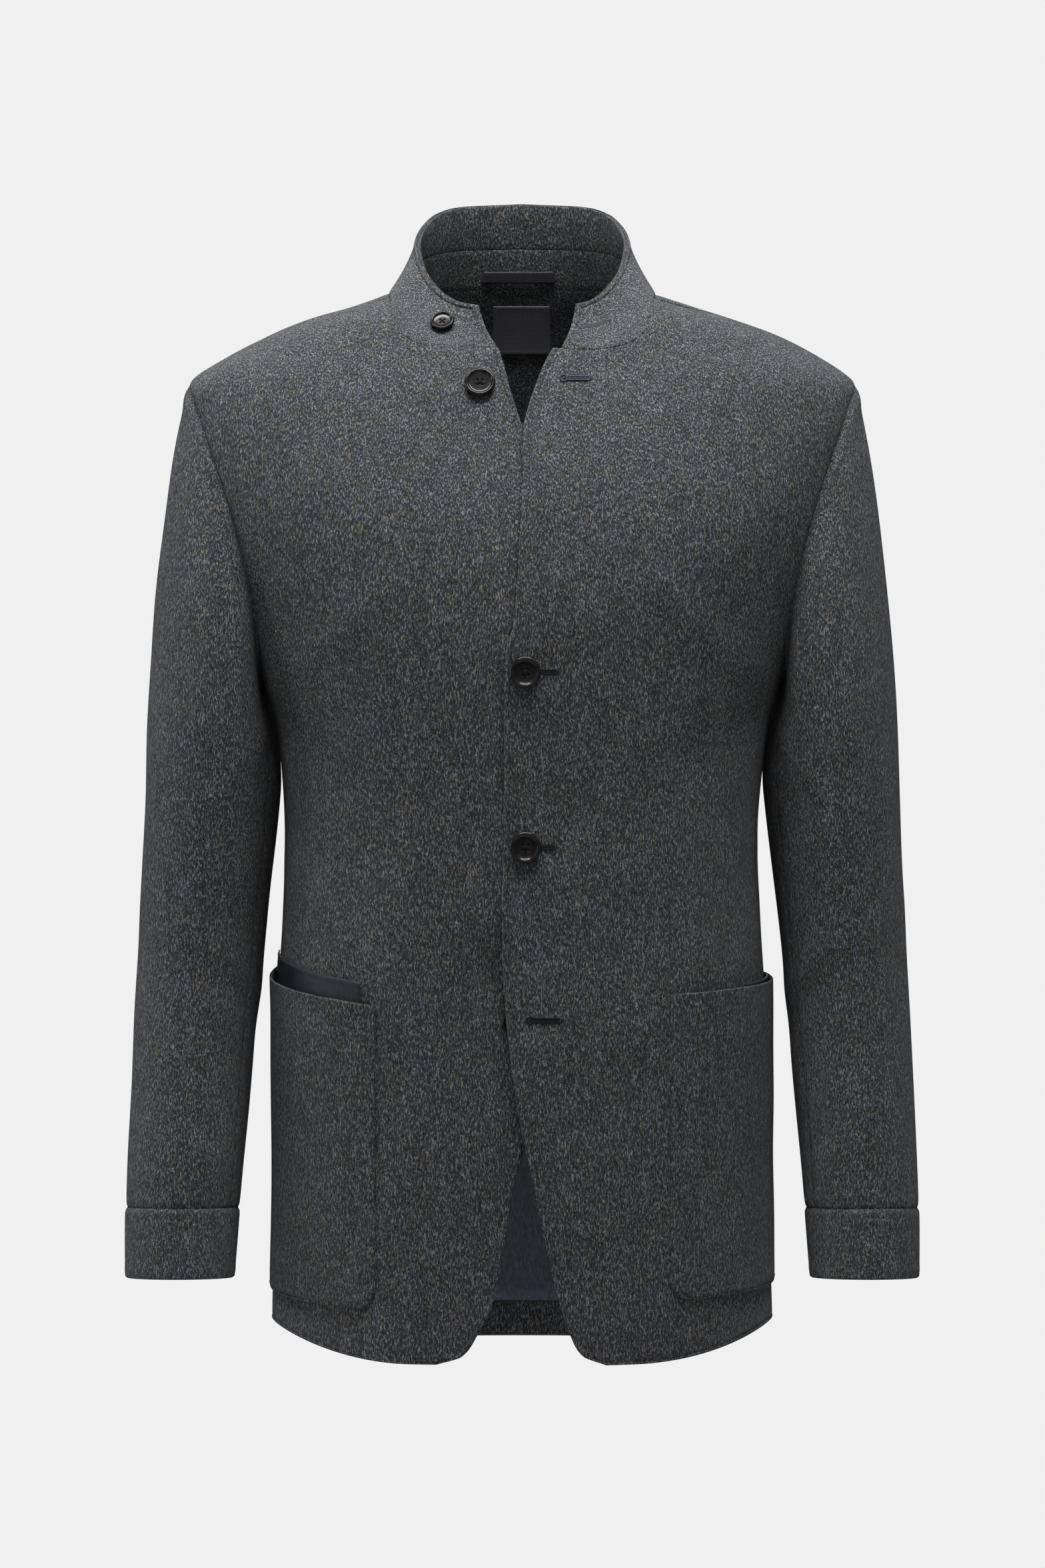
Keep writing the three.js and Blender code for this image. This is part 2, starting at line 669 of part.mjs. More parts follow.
function collarSurface(u, v) {
  const word = u < 0 ? 'right' : 'left';
  const side = u < 0 ? -1 : 1;
  const seam = neckHalf[word];
  const low = seam.getPoint(Math.abs(u) * (1 - COLLAR_END[word].setback / seam.getLength()));
  const turn = radians(COLLAR_END[word].topTurn * Math.abs(u));
  const depth = Math.cos(turn) > 0 ? COLLAR_OVAL.back : COLLAR_OVAL.front;
  const high = new THREE.Vector3(
    COLLAR_OVAL.side * Math.sin(turn),
    depth * Math.cos(turn),
    collarTopZ(COLLAR_END[word].topTurn * Math.abs(u)),
  );
  const lean = 1 - (1 - v) ** COLLAR_FLARE;
  return new THREE.Vector3(
    side * mix(low.x, high.x, lean),
    mix(low.y, high.y, lean),
    mix(low.z, high.z, v),
  );
}

function insideCollar(u, v, depth) {
  const step = 0.01;
  const low = Math.max(-1, u - step);
  const high = Math.min(1, u + step);
  const across = collarSurface(high, v).sub(collarSurface(low, v));
  const along = collarSurface(u, Math.min(1, v + step)).sub(collarSurface(u, Math.max(0, v - step)));
  const normal = across.cross(along).normalize();
  return collarSurface(u, v).addScaledVector(normal, depth);
}

function collarPiece(name, { columns, rows, from, to, out, wall, inset = 0 }) {
  const geometry = shell(columns, rows, (i, j, depth) => {
    const u = mix(-1 + inset, 1 - inset, i / columns);
    return insideCollar(u, mix(from, to, j / rows), out + depth * wall);
  }, { mirrored: true });
  add(name, geometry, cloth);
}

const neckGap = 1 / 50;
const COLLAR_INSIDE = CLOTH_WALL + SEAM_GAP + 0.1;
collarPiece('collar', { columns: 34, rows: 4, from: neckGap, to: 1, out: 0, wall: CLOTH_WALL });
collarPiece('collar_facing', {
  columns: 34, rows: 2, from: COLLAR_BAND_SHARE, to: 1, out: COLLAR_INSIDE, wall: CLOTH_WALL,
});
collarPiece('collar_band', {
  columns: 34, rows: 2, from: neckGap, to: COLLAR_BAND_SHARE - 0.007, out: COLLAR_INSIDE, wall: CLOTH_WALL,
});

const pocketLevel = (front, atSide, phi) => {
  const start = angleAt(POCKET_FRONT, front);
  return mix(front, atSide, (phi - start) / (90 - start));
};

function pocket(word, side) {
  const size = POCKETS[word];
  const columns = 14;
  const rows = 9;
  const geometry = shell(columns, rows, (i, j, depth) => {
    const s = i / columns;
    const t = (j / rows) ** 1.3;
    const level = mix(size.bottomFront, size.mouthFront, t);
    const rise = Math.min(level - size.bottomFront, POCKET_CORNER);
    const round = POCKET_CORNER - Math.sqrt(POCKET_CORNER ** 2 - (POCKET_CORNER - rise) ** 2);
    const start = angleAt(POCKET_FRONT + round, level);
    const phi = mix(start, sideAngle(level) - POCKET_BACK_SETBACK, s);
    const z = mix(pocketLevel(size.bottomFront, size.bottomSide, phi),
      pocketLevel(size.mouthFront, size.mouthSide, phi), t);
    const bow = size.bow * 6.75 * s * (1 - s) ** 2 * t ** 3;
    return onBody(phi, z, POCKET_SEAT + bow + (1 - depth) * CLOTH_WALL, side);
  }, { mirrored: side < 0 });
  add(`pocket_${word}`, geometry, cloth);
}

// The satin strip on the front, seen above the pocket's mouth and running down behind it.
function pocketStrip(word, side) {
  const size = POCKETS[word];
  const columns = 8;
  const rows = 2;
  const geometry = shell(columns, rows, (i, j, depth) => {
    const phi = mix(size.stripFrom, STRIP_TO, i / columns);
    const mouth = pocketLevel(size.mouthFront, size.mouthSide, phi);
    const z = mouth + mix(-STRIP_BELOW, size.stripAbove, j / rows);
    return onBody(phi, z, POCKET_SEAT + (1 - depth) * LINING_WALL, side);
  }, { mirrored: side < 0 });
  add(`pocket_strip_${word}`, geometry, satin);
}

for (const [word, side] of [['left', 1], ['right', -1]]) {
  pocket(word, side);
  pocketStrip(word, side);
}

function hangerLoop() {
  const half = LOOP.long / 2 / neckHalf.left.getLength();
  const middle = LOOP.middle / neckHalf.left.getLength();
  const tall = collarSurface(0, 0).distanceTo(collarSurface(0, 1));
  const low = LOOP.above / tall;
  const high = (LOOP.above + LOOP.wide) / tall;
  const under = 2 * (CLOTH_WALL + SEAM_GAP) + LOOP.seat - SEAM_GAP;
  const columns = 10;
  const geometry = shell(columns, 1, (i, j, depth) => {
    const share = i / columns;
    const bow = LOOP.bow * Math.sin(Math.PI * share);
    const out = under + bow + depth * LOOP.thick;
    return insideCollar(middle + mix(-half, half, share), mix(low, high, j), out);
  }, { mirrored: true });
  add('hanger_loop', geometry, ribbon);
}
hangerLoop();

function neckLabel() {
  const columns = 6;
  const rows = 3;
  const under = inside - CLOTH_WALL - LABEL.seat;
  const geometry = shell(columns, rows, (i, j, depth) => {
    const x = mix(LABEL.left, LABEL.right, i / columns);
    const z = mix(LABEL.bottom, LABEL.top, j / rows);
    return onBody(180 - angleAt(x, z), z, under - depth * LABEL.thick, 1);
  }, { mirrored: true });
  add('label', geometry, ribbon);
}
neckLabel();

// A button: a disc with a raised round rim and a dished middle, turned about its own axis.
function button(name, wide, seat, normal) {
  const radius = wide / 2;
  const profile = [
    [0, 0],
    [radius * 0.8, 0],
    [radius, BUTTON_THICK * 0.4],
    [radius * 0.97, BUTTON_THICK * 0.8],
    [radius * 0.88, BUTTON_THICK],
    [radius * 0.76, BUTTON_THICK * 0.72],
    [0, BUTTON_THICK * 0.6],
  ].map(([across, up]) => new THREE.Vector2(across, up));
  const mesh = add(name, new THREE.LatheGeometry(profile, 20), horn);
  mesh.position.copy(seat);
  mesh.quaternion.setFromUnitVectors(new THREE.Vector3(0, 1, 0), normal);
}

function buttonOnFront(name, x, z, out) {
  const phi = angleAt(Math.abs(x), z);
  const side = x < 0 ? -1 : 1;
  const normal = bodyNormal(phi, z);
  normal.x *= side;
  button(name, BUTTON_WIDE, onBody(phi, z, out, side), normal);
}

function buttonOnCollar() {
  const { u, v } = COLLAR_BUTTON;
  const normal = insideCollar(u, v, -1).sub(collarSurface(u, v)).normalize();
  button('button_collar', COLLAR_BUTTON_WIDE, insideCollar(u, v, -COLLAR_BUTTON_SEAT), normal);
}

const topSink = rightSink(angleAt(BUTTONS.top.x, BUTTONS.top.z), BUTTONS.top.z);
buttonOnCollar();
buttonOnFront('button_top', BUTTONS.top.x, BUTTONS.top.z, topSink + BUTTON_SEAT);
buttonOnFront('button_chest', BUTTONS.chest.x, BUTTONS.chest.z, BUTTON_SEAT);
buttonOnFront('button_waist', BUTTONS.waist.x, BUTTONS.waist.z, BUTTON_SEAT);
buttonOnFront('button_lower', BUTTONS.lower.x, BUTTONS.lower.z, -RIGHT_FRONT_SINK - BUTTON_ROOM + BUTTON_SEAT);

export default jacket;
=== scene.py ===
"""A mao jacket in brushed charcoal wool, filled out with no wearer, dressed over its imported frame.

Lengths are millimetres until a mesh is made. +X is the wearer's left, -Y the front, +Z up, and the
origin is the centre of the neck hole at the height of the high points of the shoulders.
"""

import bpy
import numpy as np
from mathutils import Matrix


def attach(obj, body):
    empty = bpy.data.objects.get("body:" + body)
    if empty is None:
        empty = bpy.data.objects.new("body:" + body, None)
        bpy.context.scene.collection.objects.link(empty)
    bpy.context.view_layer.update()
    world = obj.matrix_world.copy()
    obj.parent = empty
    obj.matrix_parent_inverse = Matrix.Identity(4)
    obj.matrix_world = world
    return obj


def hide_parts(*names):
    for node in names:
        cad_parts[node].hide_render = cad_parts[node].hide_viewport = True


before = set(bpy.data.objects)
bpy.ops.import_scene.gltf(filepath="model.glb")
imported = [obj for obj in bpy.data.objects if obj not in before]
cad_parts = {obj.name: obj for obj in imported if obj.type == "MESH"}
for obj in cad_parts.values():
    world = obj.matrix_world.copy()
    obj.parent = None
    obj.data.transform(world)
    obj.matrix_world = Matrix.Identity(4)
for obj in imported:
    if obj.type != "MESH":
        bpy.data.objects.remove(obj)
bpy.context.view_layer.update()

MM = 0.001
# The lengths over which a grid's rows are spread: a panel from edge to side, its two runs of height, the
# sleeve's cap and arm, the collar round and up, and a pocket across and up.
PANEL_WIDE, PANEL_LOW, PANEL_HIGH = 186.0, 440.0, 235.0
CAP_LONG, ARM_LONG, COLLAR_LONG, COLLAR_TALL = 235.0, 284.0, 372.0, 55.0
POCKET_ACROSS, POCKET_TALL, POCKET_CROWDING = 118.0, 205.0, 1.12
# One over the most that x squared times (1 - x) reaches between 0 and 1.
HUMP = 6.75
FAR = 99.0
CLOTH_WALL = 2.0
LINING_WALL = 1.0
SEAM_GAP = 0.3
SQUARENESS = 2.3
SIDE_HEM_ANGLE, SIDE_UNDERARM_ANGLE = 118.0, 102.0
HEM_FRONT, HEM_SIDE, HEM_BACK = -726.0, -706.0, -733.0
UNDERARM, YOKE_LEVEL, YOKE_SIDE_SHARE, NECK_SHARE = -266.0, -285.0, 0.07, 0.42
NECK_PUSH, PUSH_CENTRE, PUSH_WIDTH = 16.0, 0.52, 0.22
SHOULDER_POINT, NECK_SIDE = (88.0, -61.5), (58.4, -5.0)
RIGHT_SINK, LAP_TOP, BUTTON_ROOM = 2.9, -62.0, 4.4
CHEST_CENTRE, SHOULDER_CENTRE, BODY_TOP = -130.0, -85.0, 13.0
SLEEVE_TILT, CUFF_TOP, CUFF_BOTTOM = 0.06, -629.0, -676.0
UNDERARM_CLEARANCE, FORE_SEAM, HIND_SEAM = 1.8, 0.42, 0.69
STITCH_INSET = 4.0
POCKET_STITCH_INSET = 5.0
SIDES = {"left": 1, "right": -1}

# The body form by level: height, half width, depth in front, depth behind.
BODY = np.array([
    (-740, 172.8, 131, 127), (-690, 172, 130, 127), (-600, 170.5, 128, 124), (-520, 170, 125, 118),
    (-470, 168, 123, 112), (-430, 165, 121, 107), (-385, 163, 120, 104), (-345, 164.5, 120, 104),
    (-304, 169.6, 121, 107), (-266, 179.5, 122, 111), (-230, 191, 122, 115), (-190, 206, 119, 117),
    (-150, 219, 112, 116), (-110, 229, 100, 111), (-80, 232.5, 89, 104), (-61.5, 229.5, 81, 98),
    (-45, 206.5, 74, 92), (-30, 178, 69, 86), (-18, 146, 65, 81), (-9, 116, 62, 77), (0, 92, 59, 73),
    (13, 80, 54, 68),
], float)
# The free edge of each front: height, and distance from the centre line toward its own side.
FRONT_EDGE = {
    "left": np.array([
        (-726, 56), (-720, 41), (-706, 32.3), (-687, 25.6), (-662, 19), (-620, 10.5), (-572, 0), (-530, -7),
        (-483, -11.8), (-438, -13.6), (-349, -12.2), (-254, -11.3), (-229, -5.5), (-127, 0.4), (-100, 0.6),
        (-82, 4.7), (-56, 14), (-43, 20.6),
    ], float),
    "right": np.array([
        (-726, 58), (-721, 41.8), (-706, 30.6), (-685, 20), (-647, 12.3), (-606, 5.6), (-588, 0.5),
        (-530, -9), (-438, -13), (-229, -12), (-127, -5), (-97, 0.2), (-73, 7.8), (-56, 12.2), (-43, 16.2),
    ], float),
}
# The neck seam: distance from the centre line, height.
NECK_BACK = np.array([(0, 12.3), (25, 12.1), (50, 11), (68, 8.5), (80, 5), (88, 1.8)], float)
NECK_FRONT = np.array([(52, -43), (72, -38.5), (82, -31), (87, -21), (90, -11)], float)
# The armhole from the underarm to the shoulder point: angle round the body, height.
ARMHOLE = {
    "front": np.array([(102, -266), (90, -262), (79, -251), (71.5, -232), (67, -205), (64.5, -165),
                       (66, -125), (70.5, -92), (78, -70), SHOULDER_POINT], float),
    "back": np.array([(102, -266), (107, -255), (111.5, -230), (114, -185), (112.5, -140), (108, -98),
                      (99.5, -71), SHOULDER_POINT], float),
}
# Sleeve rings below the cap: height, centre out, centre back, half width, half depth.
SLEEVE = np.array([
    (-345, 214.4, 4, 46.7, 72), (-433, 220.7, 2, 44, 66), (-506, 225.8, -6, 42.1, 60),
    (-580, 230.6, -18, 40.1, 55), (-629, 233, -26, 38.8, 51.5), (-660, 234, -31, 37.6, 50.4),
    (-676, 234.4, -33.5, 36.6, 49.6),
], float)
CAP_BOTTOM = SLEEVE[0, 0]
# The top edge of the collar: turn from the centre back, height.
COLLAR_TOP = np.array([(0, 68), (37, 64.6), (56, 58), (72, 48), (86, 38.5), (97, 31), (117, 10), (139, -7.6),
                       (158, -13.5)], float)
COLLAR_SIDE, COLLAR_BACK, COLLAR_FRONT, COLLAR_FLARE = 74.5, 56.0, 62.0, 1.4
COLLAR_END = {"left": (6.0, 149.5), "right": (0.4, 156.0)}
COLLAR_BAND_SHARE = 0.46
COLLAR_INSIDE = CLOTH_WALL + SEAM_GAP + 0.1
# The patch pockets: mouth height in front and at the side, bottom height in front and at the side,
# how far the mouth stands off, the angle where the satin strip starts and its height above the mouth.
POCKET = {"left": (-480, -471, -684.5, -680, 6, 62, 1), "right": (-487.5, -467.3, -691, -684.4, 8.5, 37, 14)}
POCKET_FRONT, POCKET_CORNER, POCKET_SETBACK, POCKET_SEAT = 98.5, 13.0, 1.5, 0.6
STRIP_BELOW, STRIP_TO = 7.0, 90.0
BUTTON_THICK, BUTTON_WIDE, COLLAR_BUTTON_WIDE, BUTTON_SEAT, COLLAR_BUTTON_SEAT = 3.4, 21.0, 16.5, 0.6, 0.9
COLLAR_BUTTON = (-0.86, 0.45)
BUTTONS = {"top": (-28.5, -68.5), "chest": (2, -264), "waist": (2, -381), "lower": (-3.3, -498)}
# The left front's buttonholes: name, distance of the eyelet from the centre line, height, length.
BUTTONHOLES = (("chest", 1.0, -264, 21.5), ("waist", 1.0, -381, 21.0), ("lower", 5.2, -496.5, 20.0),
               ("top", 28.0, -64.5, 17.0))


def smoothstep(x):
    """3 x squared less 2 x cubed, with x held between 0 and 1."""
    x = np.clip(x, 0, 1)
    return x * x * (3 - 2 * x)


def bell(x, width):
    """e to the minus square of x over width."""
    return np.exp(-((x / width) ** 2))


def mix(a, b, share):
    """a plus share of the way to b."""
    return a + (b - a) * share


def curve(keys, values):
    """Cubic Hermite pieces through the rows, whose slope at a row is that between its neighbours."""
    keys, values = np.asarray(keys, float), np.asarray(values, float)
    if keys[0] > keys[-1]:
        keys, values = keys[::-1], values[::-1]
    last = len(keys) - 1
    rows = np.arange(last + 1)
    before, after = np.maximum(rows - 1, 0), np.minimum(rows + 1, last)
    slope = (values[after] - values[before]) / (keys[after] - keys[before])

    def at(x):
        i = np.clip(np.searchsorted(keys, x, side="right") - 1, 0, last - 1)
        span = keys[i + 1] - keys[i]
        t = np.clip((x - keys[i]) / span, 0, 1)
        return (
            (2 * t**3 - 3 * t**2 + 1) * values[i] + (t**3 - 2 * t**2 + t) * span * slope[i]
            + (3 * t**2 - 2 * t**3) * values[i + 1] + (t**3 - t**2) * span * slope[i + 1]
        )

    return at


body_half, body_front, body_back = (curve(BODY[:, 0], BODY[:, k]) for k in (1, 2, 3))
sleeve_x, sleeve_y, sleeve_wide, sleeve_deep = (curve(SLEEVE[:, 0], SLEEVE[:, k]) for k in (1, 2, 3, 4))
collar_top = curve(COLLAR_TOP[:, 0], COLLAR_TOP[:, 1])


def unit(v):
    """Vectors divided by their lengths."""
    return v / np.maximum(np.linalg.norm(v, axis=-1, keepdims=True), 1e-9)


def section(phi, z):
    """A point of the body form: half width times sin to the 2/n, depth times cos to the 2/n of the angle
    phi from the centre front, n being the squareness."""
    phi, z = np.broadcast_arrays(np.asarray(phi, float), np.asarray(z, float))
    across, along = np.sin(np.radians(phi)), np.cos(np.radians(phi))
    depth = np.where(along > 0, body_front(z), body_back(z))
    power = 2 / SQUARENESS
    x = body_half(z) * np.sign(across) * np.abs(across) ** power
    y = -depth * np.sign(along) * np.abs(along) ** power
    return np.stack([x, y, z], -1)


def body_normal(phi, z):
    """The outward normal: the section's gradient, tipped by the form's change with height."""
    phi, z = np.broadcast_arrays(np.asarray(phi, float), np.asarray(z, float))
    point = section(phi, z)
    rise = section(phi, z + 0.5) - section(phi, z - 0.5)
    depth = np.where(point[..., 1] < 0, body_front(z), body_back(z))
    power = SQUARENESS - 1
    nx = np.sign(point[..., 0]) * np.abs(point[..., 0] / body_half(z)) ** power / body_half(z)
    ny = np.sign(point[..., 1]) * np.abs(point[..., 1] / depth) ** power / depth
    return unit(np.stack([nx, ny, -(nx * rise[..., 0] + ny * rise[..., 1])], -1))


def mirrored(points, side):
    """The points with x turned over for the wearer's right side."""
    return points * np.array([side, 1, 1])


def on_body(phi, z, out, side=1):
    """The body form's point moved out along its normal."""
    return mirrored(section(phi, z) + body_normal(phi, z) * np.asarray(out)[..., None], side)


def angle_at(x, z):
    """The angle at which the form's front is a distance x from the centre line: arcsin of the share of
    the half width to the n/2."""
    share = np.minimum(1, np.abs(x) / body_half(z))
    return np.sign(x) * np.degrees(np.arcsin(share ** (SQUARENESS / 2)))


def route(places):
    """A path over the body form through (angle, height) places, by its share of length."""
    places = np.asarray(places, float)
    order = np.arange(len(places))
    phi_at, z_at = curve(order, places[:, 0]), curve(order, places[:, 1])
    steps = np.linspace(0, len(places) - 1, 24 * (len(places) - 1) + 1)
    points = section(phi_at(steps), z_at(steps))
    length = np.concatenate([[0], np.cumsum(np.linalg.norm(np.diff(points, axis=0), axis=1))])

    def at(share):
        i = np.interp(np.clip(share, 0, 1) * length[-1], length, steps)
        return np.stack([phi_at(i), z_at(i)], -1)

    return at


def joined(first, second, share):
    """Two routes end to end, the first taking the given share."""
    return lambda at: np.where(
        (at <= share)[..., None], first(at / share), second((at - share) / (1 - share))
    )


def hem_height(phi):
    """The hem: level in front, higher at the sides, lowest at the back, with smooth steps between."""
    return np.where(
        phi < 90,
        mix(HEM_FRONT, HEM_SIDE, smoothstep((phi - 22) / 62)),
        mix(HEM_SIDE, HEM_BACK, smoothstep((phi - 90) / 80)),
    )


def side_angle(z):
    """The side seam's angle, in a straight run from the hem to the underarm."""
    hem = hem_height(SIDE_HEM_ANGLE)
    return mix(SIDE_HEM_ANGLE, SIDE_UNDERARM_ANGLE, (z - hem) / (UNDERARM - hem))


shoulder_seam = route([NECK_SIDE, (70, -16), (79.5, -33), (85, -50), SHOULDER_POINT])
neck_back = route([
    *np.stack([180 - angle_at(NECK_BACK[:, 0], NECK_BACK[:, 1]), NECK_BACK[:, 1]], -1), (90, 1), NECK_SIDE,
])


def neck_front_to(corner):
    """The neck seam from a front's corner to the neck's side point."""
    places = np.vstack([corner[::-1], NECK_FRONT])
    return route([*np.stack([angle_at(places[:, 0], places[:, 1]), places[:, 1]], -1), NECK_SIDE])


def settle(points):
    """The body form met by the ray from inside the chest to each point, in the upright plane that keeps
    the point's x, by halving. Returns angle and height."""
    x = np.abs(points[..., 0])
    centre = mix(CHEST_CENTRE, SHOULDER_CENTRE, smoothstep((x - 150) / 80))
    ray_y, ray_z = points[..., 1], points[..., 2] - centre
    depth_at = lambda y, z: np.where(y < 0, body_front(z), body_back(z))
    inside, outside = np.zeros_like(x), np.full_like(x, 4.0)
    for _ in range(40):
        reach = (inside + outside) / 2
        y, z = ray_y * reach, centre + ray_z * reach
        filled = (x / body_half(z)) ** SQUARENESS + np.abs(y / depth_at(y, z)) ** SQUARENESS
        within = (filled < 1) & (z < BODY_TOP)
        inside, outside = np.where(within, reach, inside), np.where(within, outside, reach)
    y, z = ray_y * inside, centre + ray_z * inside
    half = SQUARENESS / 2
    phi = np.arctan2((x / body_half(z)) ** half, -np.sign(y) * np.abs(y / depth_at(y, z)) ** half)
    return np.sign(points[..., 0]) * np.degrees(phi), z


def panel_map(hem_start, start_at, corner_height, top, hole):
    """From grid shares to the body form. Up to t = 1 rows run from the free edge or centre to the side
    seam; above, a Coons blend of the yoke line, neck and shoulder seam, edge and armhole, pushed out near
    the neck's side by up to NECK_PUSH and settled."""
    side = joined(
        route([(side_angle(YOKE_LEVEL), YOKE_LEVEL), (SIDE_UNDERARM_ANGLE, UNDERARM)]), route(hole),
        YOKE_SIDE_SHARE,
    )
    place = lambda at: section(at[..., 0], at[..., 1])
    start = lambda t: section(*start_at(mix(YOKE_LEVEL, corner_height, t)))
    yoke_from, yoke_to = start_at(np.array(YOKE_LEVEL))[0], side_angle(YOKE_LEVEL)
    yoke = lambda s: section(mix(yoke_from, yoke_to, s), YOKE_LEVEL + 0 * s)

    def at(s, t):
        s, t = np.broadcast_arrays(s, t)
        low = np.minimum(t, 1)
        first = np.where(low <= 0, hem_start, start_at(mix(hem_height(hem_start), YOKE_LEVEL, low))[0])
        level = mix(hem_height(SIDE_HEM_ANGLE), YOKE_LEVEL, low)
        phi = mix(first, side_angle(level), s)
        z = mix(hem_height(phi), YOKE_LEVEL, low)
        up = np.clip(t - 1, 0, 1)
        a, b = s[..., None], up[..., None]
        one = np.ones_like(s)
        blend = (
            yoke(s) * (1 - b) + place(top(s)) * b + start(up) * (1 - a) + place(side(up)) * a
            - yoke(0 * one) * (1 - a) * (1 - b) - yoke(one) * a * (1 - b)
            - place(top(0 * one)) * (1 - a) * b - place(top(one)) * a * b
        )
        blend[..., 0] += NECK_PUSH * bell(s - PUSH_CENTRE, PUSH_WIDTH) * HUMP * up**2 * (1 - up)
        high_phi, high_z = settle(blend)
        return np.where(t <= 1, phi, high_phi), np.where(t <= 1, z, high_z)

    return at


back_map = panel_map(
    180.0, lambda z: (180 + 0 * z, z), NECK_BACK[0, 1], joined(neck_back, shoulder_seam, NECK_SHARE),
    ARMHOLE["back"],
)


def front_map(word):
    """The map of a front, from its free edge (s = 0) to the side (s = 1)."""
    edge = FRONT_EDGE[word]
    edge_x = curve(edge[:, 0], edge[:, 1])
    return panel_map(
        angle_at(edge[0, 1], edge[0, 0]), lambda z: (angle_at(edge_x(z), z), z), edge[-1, 0],
        joined(neck_front_to(edge[-1]), shoulder_seam, NECK_SHARE), ARMHOLE["front"],
    )


front_maps = {word: front_map(word) for word in SIDES}


def right_sink(phi, z):
    """How far the right front lies under the left one: a smooth fall-off round the body, more below,
    where a button lies between them."""
    reach = (1 - smoothstep((phi - 4) / 26)) * smoothstep((LAP_TOP - z) / 40)
    return -(RIGHT_SINK + BUTTON_ROOM * smoothstep((-425 - z) / 50)) * reach


# Grids, shells and meshes

EDGE_STEPS = np.array([0, 0.25, 0.6, 1.1, 1.7, 2.4, 3.1, 3.6, 4.0, 4.4, 4.9, 5.6, 6.6, 8, 10])


def spread(length, step, starts=True, ends=True, keep=()):
    """Shares of a length: fine steps in from a sewn or free edge, even ones between, and any share that
    has to be met."""
    first = EDGE_STEPS if starts else np.zeros(1)
    last = length - EDGE_STEPS[::-1] if ends else np.full(1, length)
    inner = np.linspace(first[-1], last[0], max(3, int(round((last[0] - first[-1]) / step))))[1:-1]
    shares = np.concatenate([first, inner, last]) / length
    for share in keep:
        shares[np.argmin(np.abs(shares - share))] = share
    return shares


def arc(points, axis):
    """Running length along a grid's axis from its start."""
    steps = np.linalg.norm(np.diff(points, axis=axis), axis=-1)
    zero = np.zeros_like(np.take(steps, [0], axis=axis))
    return np.concatenate([zero, np.cumsum(steps, axis=axis)], axis=axis)


def edges_of(points):
    """Distances over the cloth from a grid's four borders: start, end, low, high."""
    across, along = arc(points, 0), arc(points, 1)
    return across, across[-1:] - across, along, along[:, -1:] - along


def seam(distance, depth=1.1, width=2.2):
    """Cloth turned in at a sewn seam: a dip that dies away as e to the minus distance over width."""
    return -depth * np.exp(-distance / width)


def rounded(distance, radius=1.0):
    """A folded edge: a quarter round, radius less the root of radius squared less the rest squared."""
    rest = np.clip(radius - distance, 0, radius)
    return -(radius - np.sqrt(np.maximum(radius**2 - rest**2, 0)))


def groove(distance, inset, depth=0.35):
    """Topstitching pulls the cloth down in a narrow bell-shaped line, and the edge beyond it swells."""
    return -depth * bell(distance - inset, 0.8) + 0.22 * bell(distance - inset / 2, inset / 2.6)


def surface_normals(points):
    """Normals of a grid from the cross product of its differences along both axes."""
    return unit(np.cross(np.gradient(points, axis=0), np.gradient(points, axis=1)))


def shell_faces(across, along, wrap=False):
    """Faces of a closed shell: outer grid, inner grid and a rim loop half way through the wall. Returns
    the faces and, for each rim point, its outer and inner grid point."""
    index = np.arange(across * along).reshape(across, along)
    if wrap:
        grid = np.vstack([index, index[:1]])
        loops = [index[:, 0], index[::-1, -1]]
    else:
        grid = index
        loops = [np.concatenate([index[:-1, 0], index[-1, :-1], index[:0:-1, -1], index[0, :0:-1]])]
    quads = np.stack([grid[:-1, :-1], grid[1:, :-1], grid[1:, 1:], grid[:-1, 1:]], -1).reshape(-1, 4)
    total = across * along
    faces = [quads, quads[:, ::-1] + total]
    rim_start = 2 * total
    for loop in loops:
        rim = rim_start + np.arange(len(loop))
        after, rim_after = np.roll(loop, -1), np.roll(rim, -1)
        faces.append(np.stack([after, loop, rim, rim_after], -1))
        faces.append(np.stack([rim_after, rim, loop + total, after + total], -1))
        rim_start += len(loop)
    return np.concatenate(faces), np.concatenate(loops)


def linear(hex_colour):
    """An sRGB hex colour as linear red, green, blue and alpha."""
    channels = np.array([int(hex_colour[k:k + 2], 16) for k in (0, 2, 4)]) / 255
    value = np.where(channels <= 0.04045, channels / 12.92, ((channels + 0.055) / 1.055) ** 2.4)
    return (*value.tolist(), 1.0)


RIM_BULGE = 0.35


def mesh_piece(name, points, faces, material, node=None, line=None):
    """A finished piece in metres: smooth, facing outwards, riding on the one body. line is the distance
    to the nearest sewn line as a point attribute. The volume under the faces tells which way they face."""
    a, b, c, d = (points[faces[:, k]] for k in range(4))
    volume = ((a - points.mean(0)) * np.cross(c - a, d - b)).sum()
    if volume < 0:
        faces = faces[:, ::-1]
    mesh = bpy.data.meshes.new(name)
    mesh.vertices.add(len(points))
    mesh.vertices.foreach_set("co", (points * MM).astype(np.float32).ravel())
    mesh.loops.add(faces.size)
    mesh.loops.foreach_set("vertex_index", faces.astype(np.int32).ravel())
    mesh.polygons.add(len(faces))
    mesh.polygons.foreach_set("loop_start", np.arange(0, faces.size, 4, dtype=np.int32))
    mesh.polygons.foreach_set("use_smooth", np.ones(len(faces), bool))
    mesh.update(calc_edges=True)
    if line is not None:
        mesh.attributes.new("sewn_line", "FLOAT", "POINT").data.foreach_set("value", line.astype(np.float32))
    mesh.materials.append(material)
    piece = bpy.data.objects.new(name, mesh)
    bpy.context.scene.collection.objects.link(piece)
    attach(piece, "root")
    if node:
        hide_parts(node)
    return piece


